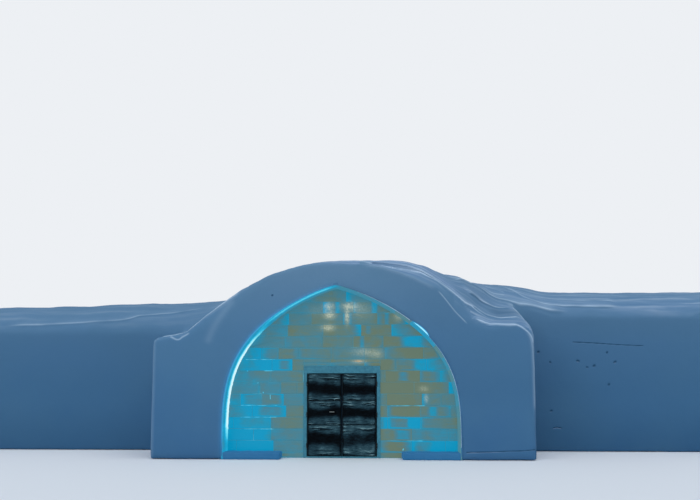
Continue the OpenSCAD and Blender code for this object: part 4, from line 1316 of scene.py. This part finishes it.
# Joints where frost catches the light from behind, each (x0, z0, x1, z1). Short ones are dots
LIT_JOINTS = [(-2.64, 2.66, -1.83, 2.66), (-2.14, 2.35, -1.86, 2.35), (-1.96, 1.7, -1.95, 1.57),
              (-2.76, 1.41, -1.77, 1.41), (-2.77, 1.09, -1.77, 1.09), (-2.67, 0.77, -1.84, 0.77),
              (1.75, 0.46, 2.18, 0.46), (1.3, 1.4, 2.24, 1.4), (-2.6, 2.34, -2.58, 2.36),
              (-2.31, 2.02, -2.29, 2.02), (-2.16, 1.78, -2.14, 1.74), (-2.2, 0.77, -2.18, 0.77),
              (-1.94, 0.78, -1.9, 0.76), (1.64, 0.2, 1.66, 0.26)]


def bead(bm, places, widths):
    """A ragged bead of frost through places in the plane of the front"""
    rings = []
    for i, (place, wide) in enumerate(zip(places, widths)):
        run = places[min(i + 1, len(places) - 1)] - places[max(i - 1, 0)]
        across = Vector((-run.z, 0, run.x)).normalized() * wide
        deep = Vector((0, 0.03, 0))
        corners = (place - across, place + across, place + across + deep, place - across + deep)
        rings.append([bm.verts.new(c) for c in corners])
    for a, b in zip(rings, rings[1:]):
        for j in range(4):
            bm.faces.new((a[j], a[(j + 1) % 4], b[(j + 1) % 4], b[j]))
    bm.faces.new(rings[0][::-1])
    bm.faces.new(rings[-1])


def lit_joints():
    """Frost along those joints, and a bead along the arch's right front edge that carries a painted
    highlight
    """
    bm = bmesh.new()
    for i, (x0, z0, x1, z1) in enumerate(LIT_JOINTS):
        steps = max(2, round(math.hypot(x1 - x0, z1 - z0) / 0.02))
        places = [Vector((x0 + (x1 - x0) * k / steps, ICE_Y - 0.004, z0 + (z1 - z0) * k / steps))
                  for k in range(steps + 1)]
        short = steps < 4
        widths = [0.011 if short else max(0.001, 0.004 + 0.007 * noise.noise(p * 9 + Vector((0, i, 0))))
                  for p in places]
        bead(bm, places, [w * min(1.0, 0.3 + k, 0.3 + steps - k) for k, w in enumerate(widths)])
    bmesh.ops.recalc_face_normals(bm, faces=bm.faces)
    mesh = mesh_of(bm, "lit_joints")
    set_attribute(mesh, "glow", np.full(len(mesh.vertices), 0.55))
    new_piece(mesh, "lit_joints", "rime")

    bm = bmesh.new()
    curve = arch_line()
    lengths = distances_along(curve)
    start = lengths[np.argmax(curve[:, 1])] + 0.6
    steps = np.arange(start, lengths[-1] - 0.3, 0.04)
    xs, zs = [np.interp(steps, lengths, curve[:, k]) for k in (0, 1)]
    places = [Vector((x + 0.004, FRONT_Y + WALL_WAVE - 0.006, z + 0.004)) for x, z in zip(xs, zs)]
    for above in (True, False):
        part = [p for p in places if (p.z > CHIP_Z + CHIP_RUN if above else p.z < CHIP_Z - CHIP_RUN)]
        wide = 0.006 if above else 0.0035
        bead(bm, part, [max(0.001, wide * min(1.0, 0.05 * k) * (1 + 0.7 * noise.noise(p * 3)))
                        for k, p in enumerate(part)])
    bmesh.ops.recalc_face_normals(bm, faces=bm.faces)
    mesh = mesh_of(bm, "arch_rim")
    # The bead is painted pale as a highlight
    set_attribute(mesh, "crest", np.full(len(mesh.vertices), 0.9))
    new_piece(mesh, "arch_rim", "snow")


def frozen_joints():
    """The slush between the blocks: a slab inside the wall, open at the doorway"""
    mesh = joined_nodes(["left_ice_wall", "right_ice_wall", "upper_ice_wall"])
    co = coordinates(mesh)
    middle = ICE_Y + ICE_T / 2
    co[:, 1] = middle + (co[:, 1] - middle) * (ICE_T - SLUSH_THINNER) / ICE_T
    move_vertices(mesh, co)
    new_piece(mesh, "frozen_joints", "slush")


# Doors

# Bevels of the frame's timbers, the boards and the ledges
FRAME_BEVEL = 0.008
BOARD_BEVEL = 0.004
LEDGE_BEVEL = 0.006


def beam(lo, hi, edge, rng, wander=0.003):
    """A sawn timber between two corners: bevelled, with sides that wander a little inwards"""
    bm = bmesh.new()
    size = [h - l for l, h in zip(lo, hi)]
    middle = [(l + h) / 2 for l, h in zip(lo, hi)]
    bmesh.ops.create_cube(bm, size=1.0, matrix=Matrix.LocRotScale(middle, None, size))
    longest = max(range(3), key=lambda k: size[k])
    along = [e for e in bm.edges
             if abs((e.verts[0].co - e.verts[1].co)[longest]) > 0.9 * size[longest]]
    bmesh.ops.subdivide_edges(bm, edges=along, cuts=5, use_grid_fill=True)
    seed = rng.uniform(0, 50)
    for v in bm.verts:
        wobble = noise.noise_vector(v.co * 3.0 + Vector((seed, 0, 0)))
        wobble[longest] = 0.0
        v.co = [min(max(c + wander * w, l), h) for c, w, l, h in zip(v.co, wobble, lo, hi)]
    sharp = [e for e in bm.edges if e.calc_face_angle(0.0) > 0.9]
    bmesh.ops.bevel(bm, geom=sharp, offset=edge, affect="EDGES", segments=2, profile=0.5,
                    material=-1, clamp_overlap=True)
    return bm


def merge(target, part):
    """Adds one bmesh to another and frees it"""
    mesh = mesh_of(part, "part")
    target.from_mesh(mesh)
    bpy.data.meshes.remove(mesh)


def door_frame():
    """Two jambs, the head and the threshold, each one timber"""
    rng = random.Random(5)
    for node in ("left_jamb", "right_jamb", "door_head", "threshold"):
        lo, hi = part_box(node)
        mesh = mesh_of(beam(lo, hi, FRAME_BEVEL, rng), node + "_timber")
        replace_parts(new_piece(mesh, node + "_timber", "timber"), node)


# The leaves: boards side by side, and ledges set in from the leaf's edges. The wander is how
# far out of true they are
BOARDS = 5
BOARD_GAP = 0.004
LEDGE_T = 0.03
LEDGE_H = 0.13
LEDGE_INSET = 0.04
BOARD_WANDER = 0.0012


def door_leaves():
    """Each leaf: upright boards, and three ledges across their inner face"""
    rng = random.Random(7)
    for side in ("left", "right"):
        lo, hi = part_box(side + "_door_leaf")
        board_back = hi.y - LEDGE_T
        width = (hi.x - lo.x) / BOARDS
        bm = bmesh.new()
        for i in range(BOARDS):
            x0 = lo.x + i * width + (BOARD_GAP / 2 if i else 0)
            x1 = lo.x + (i + 1) * width - (BOARD_GAP / 2 if i < BOARDS - 1 else 0)
            merge(bm, beam((x0, lo.y, lo.z), (x1, board_back, hi.z), BOARD_BEVEL, rng, BOARD_WANDER))
        hinge_low, hinge_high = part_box(side + "_leaf_hinges")
        for z in (hinge_low.z + 0.02, (lo.z + hi.z) / 2, hinge_high.z - 0.02):
            merge(bm, beam((lo.x + LEDGE_INSET, board_back - 0.002, z - LEDGE_H / 2),
                           (hi.x - LEDGE_INSET, hi.y, z + LEDGE_H / 2), LEDGE_BEVEL, rng,
                           BOARD_WANDER))
        mesh = mesh_of(bm, side + "_leaf_boards")
        piece = new_piece(mesh, side + "_leaf_boards", "boards", body=side + "_leaf")
        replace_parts(piece, side + "_door_leaf")


# The hides: points across and up, tufts of hair on each, and their length and half width
HIDE_COLUMNS = 56
HIDE_ROWS = 52
TUFTS = 420
HAIR_L = 0.045
HAIR_W = 0.006

# The dark band across the middle of a top, a middle and a bottom hide, from its upper to its
# lower edge as shares of the hide's height. One hide is greyer there than the others
DARK_BAND = [(0.63, 0.21), (0.72, 0.28), (0.74, 0.34)]
GREY_HIDE = 13


def folds_of(rng):
    """The folds of a hide, each with its height on it, its sag, tilt, depth and width: rolled
    and crumpled at the top and the foot, smooth between them"""
    tops = (0.96, 0.87, 0.74)
    feet = (0.03, 0.1, 0.17)
    folds = [(tops[i] + rng.uniform(-0.012, 0.012), rng.uniform(-0.01, 0.07),
              rng.uniform(-0.08, 0.08), (1.0, 0.8, 0.35)[i], rng.uniform(0.018, 0.026))
             for i in range(3)]
    folds += [(feet[i] + rng.uniform(-0.01, 0.01), rng.uniform(-0.02, 0.05),
               rng.uniform(-0.05, 0.05), (0.9, 0.7, 0.4)[i], rng.uniform(0.018, 0.026))
              for i in range(3)]
    return folds


def hide_shape(u, v, folds, seed):
    """Thickness of a hide as a share, and how much frost lies on it, at places across and up
    it, each from 0 to 1. Each fold overhangs, with a painted highlight on top and painted
    shade in the crease below it"""
    places = np.stack([u * 2.2, v * 1.6, np.full(len(u), float(seed))], 1)
    wander = 0.045 * field(places, 0.9) + 0.02 * field(places, 0.3, 4.0)
    ridge, shine, crease = np.zeros(len(u)), np.zeros(len(u)), np.zeros(len(u))
    for height, sag, tilt, depth, width in folds:
        off = v + wander - height + sag * 4 * u * (1 - u) + tilt * (u - 0.5)
        fade = np.clip(0.55 + 0.6 * np.sin(7 * u + 9 * height + seed), 0.05, 1)
        ridge += depth * fade * np.where(off > 0, bell(off, 1.8 * width), bell(off, width))
        shine += depth * fade * bell(off - 0.3 * width, 0.6 * width)
        crease += depth * fade * bell(off + 1.4 * width, 0.7 * width)
    ridge = np.minimum(ridge, 1.0)
    shift = 0.09 * field(places, 0.7, 12.0) + 0.12 * math.sin(seed * 2.3) * (u - 0.5)
    dark_top, dark_foot = DARK_BAND[seed % 10 - 1]
    top = smooth_step((v + shift + 0.1 * u * (1 - u) - dark_top) / 0.26 + 0.5)
    foot = 1 - smooth_step((v + shift - 0.2 * u * (1 - u) - dark_foot) / 0.22 + 0.5)
    ends = np.maximum(top, foot)
    full = 0.6 - 0.12 * ends + 0.07 * field(places, 0.5, 9.0)
    rim = np.minimum(np.minimum(u, 1 - u), 0.8 * np.minimum(v, 1 - v)) / 0.05
    thickness = np.clip((full + 0.42 * ridge) * np.minimum(1.0, rim) ** 0.45, 0.1, 1.0)
    sides = bell(np.minimum(u, 1 - u), 0.025)
    base = 0.18 if seed == GREY_HIDE else 0.0
    # Painted highlights on the folds' tops and painted shade in their creases
    frost = base + (0.47 - 0.6 * base) * ends + 0.42 * ends * shine - 0.55 * ends * crease
    frost += 0.15 * ends * field(places, 0.35, 2.0) + 0.08 * field(places, 0.6, 6.0) - 0.2 * sides
    return thickness, np.clip(frost, 0, 1)


# The foot of a tuft, each (x, y) as shares of its half width
TUFT_FOOT = [(-1, -0.5), (1, -0.5), (1, 1), (-1, 1)]


def hair(bm, lo, hi, folds, seed, rng):
    """Tufts that lean down from a hide's border and its folds, each with five vertices. It gives
    how much frost lies on each of these"""
    on_rim = np.array([rng.random() < 0.35 for _ in range(TUFTS)])
    u = np.array([rng.random() for _ in range(TUFTS)])
    v = np.array([rng.random() for _ in range(TUFTS)])
    u = np.where(on_rim, np.where(u < 0.5, 0.06 * u, 1 - 0.06 * (1 - u)), 0.02 + 0.96 * u)
    v = np.where(on_rim, v, np.where(v < 0.5, 0.5 * v, 1 - 0.5 * (1 - v)))
    thickness, frost = hide_shape(u, v, folds, seed)
    roots = np.stack([lo.x + (hi.x - lo.x) * u, hi.y - (hi.y - lo.y) * thickness + 0.004,
                      lo.z + (hi.z - lo.z) * v], 1)
    lean = np.array([(rng.gauss(0, 0.5), -rng.uniform(0.05, 0.35), -1.0) for _ in range(TUFTS)])
    lean /= np.linalg.norm(lean, axis=1)[:, None]
    lengths = np.array([HAIR_L * rng.uniform(0.5, 1.3) for _ in range(TUFTS)])
    tips = np.clip(roots + lean * lengths[:, None], (lo.x, lo.y - 0.006, lo.z), hi)
    for root, tip in zip(roots, tips):
        half = HAIR_W * rng.uniform(0.5, 1.0)
        foot = [bm.verts.new(root + (half * x, half * y, 0)) for x, y in TUFT_FOOT]
        point = bm.verts.new(tip)
        bm.faces.new(foot[::-1])
        for a, b in zip(foot, foot[1:] + foot[:1]):
            bm.faces.new((a, b, point))
    bmesh.ops.recalc_face_normals(bm, faces=bm.faces)
    # The tufts take the hide's frost, with its painted highlights and shade
    on_foot = np.tile(0.8 * frost, (len(TUFT_FOOT), 1))
    return np.vstack([on_foot, np.clip(1.2 * frost + 0.08, 0, 1)]).T.ravel()


def hide(node, body, seed):
    """One hide: a thick pelt with folds, and tufts of hair along its border and its folds"""
    lo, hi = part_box(node)
    rng = random.Random(seed)
    folds = folds_of(rng)
    width, height, thick = hi.x - lo.x, hi.z - lo.z, hi.y - lo.y
    v, u = np.meshgrid(np.linspace(0, 1, HIDE_ROWS), np.linspace(0, 1, HIDE_COLUMNS), indexing="ij")
    shape = u.shape
    u, v = u.ravel(), v.ravel()
    thickness, frost = hide_shape(u, v, folds, seed)
    corner = 1 - 0.35 * np.maximum(0, np.abs(u - 0.5) + np.abs(v - 0.5) - 0.93)
    ragged = 0.006 * field(np.stack([u * 9, v * 9, np.full(len(u), seed)], 1), 1.0)
    x = lo.x + width * (0.5 + (u - 0.5) * corner * 0.985) + ragged
    z = lo.z + height * (0.5 + (v - 0.5) * corner * 0.985) + ragged
    x, z = np.clip(x, lo.x, hi.x), np.clip(z, lo.z, hi.z)
    front = np.stack([x, hi.y - thick * thickness, z], 1).reshape(*shape, 3)
    back = np.stack([x, np.full(len(x), hi.y), z], 1).reshape(*shape, 3)
    bm = closed_skin(back, front)
    hair_frost = hair(bm, lo, hi, folds, seed, rng)
    mesh = mesh_of(bm, node + "_fur")
    set_attribute(mesh, "frost", np.concatenate([np.tile(frost, 2), hair_frost]))
    mesh.shade_smooth()
    piece = new_piece(mesh, node + "_fur", "hide", body=body)
    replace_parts(piece, node)


def hides():
    """Three hides on each leaf, each with its own folds. They are padded pieces, as fur gives"""
    seeds = {"top": 1, "middle": 2, "bottom": 3}
    for side in ("left", "right"):
        for place, seed in seeds.items():
            node = side + "_" + place + "_hide"
            hide(node, side + "_leaf", seed + (10 if side == "right" else 0))


# The pulls: sides and steps of the bar, half the way between the posts, and the radii of a
# post's two ends
PULL_SIDES = 12
PULL_STEPS = 14
POST_X = 0.05
POST_R1 = 0.008
POST_R2 = 0.0065


def pull(node, facing):
    """An antler pull: a slightly bent, tapered bar on two posts"""
    lo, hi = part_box(node)
    bar_r = (hi.z - lo.z) / 2
    bar_y = lo.y + bar_r if facing < 0 else hi.y - bar_r
    foot_y = hi.y if facing < 0 else lo.y
    middle_z = (lo.z + hi.z) / 2
    length = hi.x - lo.x
    bm = bmesh.new()
    ring = bmesh.ops.create_circle(bm, cap_ends=False, radius=1.0, segments=PULL_SIDES,
                                   matrix=Matrix.Rotation(math.pi / 2, 4, "Y"))["verts"]
    edges = list({e for v in ring for e in v.link_edges})
    rings = [ring]
    for _ in range(PULL_STEPS):
        out = bmesh.ops.extrude_edge_only(bm, edges=edges)["geom"]
        ring = [v for v in out if isinstance(v, bmesh.types.BMVert)]
        edges = [e for e in out if isinstance(e, bmesh.types.BMEdge)
                 and e.verts[0] in ring and e.verts[1] in ring]
        rings.append(ring)
    for i, verts in enumerate(rings):
        share = i / PULL_STEPS
        radius = bar_r * 0.8 * (0.15 + 0.85 * math.sin(math.pi * (0.06 + 0.88 * share)) ** 0.35)
        radius *= 1 + 0.08 * noise.noise(Vector((share * 5, 0, 0)))
        bend = 0.002 * math.sin(math.pi * share)
        for v in verts:
            angle = math.atan2(v.co.z, v.co.y)
            v.co = Vector((lo.x + 0.001 + (length - 0.002) * share,
                           bar_y + radius * math.cos(angle) - facing * bend,
                           middle_z + radius * math.sin(angle)))
    for end in (rings[0], rings[-1]):
        bm.faces.new(end)
    for x in (-POST_X, POST_X):
        centre = Vector(((lo.x + hi.x) / 2 + x, (foot_y + bar_y) / 2, middle_z))
        bmesh.ops.create_cone(bm, cap_ends=True, segments=PULL_SIDES, radius1=POST_R1,
                              radius2=POST_R2, depth=abs(foot_y - bar_y),
                              matrix=Matrix.Translation(centre) @ Matrix.Rotation(math.pi / 2, 4, "X"))
    bmesh.ops.recalc_face_normals(bm, faces=bm.faces)
    mesh = mesh_of(bm, node + "_antler")
    mesh.shade_smooth()
    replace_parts(new_piece(mesh, node + "_antler", "horn", body="left_leaf"), node)


def hinges():
    """The hinges keep their construction shape and get forged iron"""
    for side in ("left", "right"):
        for kind in ("_jamb_hinges", "_leaf_hinges"):
            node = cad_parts[side + kind]
            node.data.materials.clear()
            node.data.materials.append(MATERIALS["iron"])


# Camera, light and stage

CAMERA_PLACE = (0.98, -20.73, 1.65)
CAMERA_PITCH = math.radians(4.5)
CAMERA_YAW = math.radians(2.55)

# The photograph's width, the camera's focal length and how far its axis lies below the
# picture's middle, in the photograph's pixels
PHOTO_W = 700
FOCAL_PX = 626.6
AXIS_BELOW_MIDDLE_PX = 97.2
SENSOR_W = 36.0

# The floor's half width, and how far it lies below the building's foot
FLOOR_HALF_W = 150
FLOOR_DROP = 0.002

# The lamps, each with its name, its turn, its strength and its breadth in degrees
SUNS = [("above", (0.35, 0.25, 0.0), 1.1, 60), ("front_left", (1.1, 0.0, -0.6), 0.8, 40)]


def camera():
    """At the photograph's place: eye height in front of the portal, a little right of it"""
    data = bpy.data.cameras.new("camera")
    data.sensor_width = SENSOR_W
    data.lens = FOCAL_PX / PHOTO_W * SENSOR_W
    data.shift_y = AXIS_BELOW_MIDDLE_PX / PHOTO_W
    data.clip_end = 500
    placed = bpy.data.objects.new("camera", data)
    placed.location = CAMERA_PLACE
    placed.rotation_euler = (math.pi / 2 + CAMERA_PITCH, 0, CAMERA_YAW)
    bpy.context.scene.collection.objects.link(placed)
    bpy.context.scene.camera = placed


def stage():
    """A plain pale floor that keeps the building's shadow"""
    bm = bmesh.new()
    bmesh.ops.create_grid(bm, x_segments=1, y_segments=1, size=FLOOR_HALF_W)
    mesh = mesh_of(bm, "floor")
    material, _, shader = new_material("pale_floor")
    feed(shader, {"Base Color": linear("#DDE2E8"), "Roughness": 0.9})
    mesh.materials.append(material)
    floor = bpy.data.objects.new("floor", mesh)
    floor.location.z = -FLOOR_DROP
    bpy.context.scene.collection.objects.link(floor)
    floor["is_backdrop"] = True


def light():
    """Soft studio light: an even sky, a broad lamp above and a weaker one from the front left"""
    world = bpy.data.worlds.new("studio")
    bpy.context.scene.world = world
    world.use_nodes = True
    tree = world.node_tree
    tree.nodes.clear()
    path = add(tree, "LightPath")
    sky = add(tree, "Background", {"Color": linear("#DCE6F2"), "Strength": 0.62})
    seen = add(tree, "Background", {"Color": linear("#EDF0F4"), "Strength": 1.0})
    mixed = add(tree, "MixShader", {0: path.outputs["Is Camera Ray"], 1: sky.outputs[0],
                                    2: seen.outputs[0]})
    add(tree, "OutputWorld", {0: mixed.outputs[0]})
    for name, turn, strength, angle in SUNS:
        lamp = bpy.data.lights.new(name, "SUN")
        lamp.energy = strength
        lamp.angle = math.radians(angle)
        placed = bpy.data.objects.new(name, lamp)
        placed.rotation_euler = turn
        bpy.context.scene.collection.objects.link(placed)
    bpy.context.scene.view_settings.view_transform = "Standard"


camera()
light()
stage()
snow_pieces()
kerbs()
reveal_rime()
ice_wall()
frozen_joints()
lit_joints()
door_frame()
door_leaves()
hides()
pull("outer_pull", -1)
pull("inner_pull", 1)
hinges()

[[list(corner) for corner in box] for box in (CAD_BOX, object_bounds())]
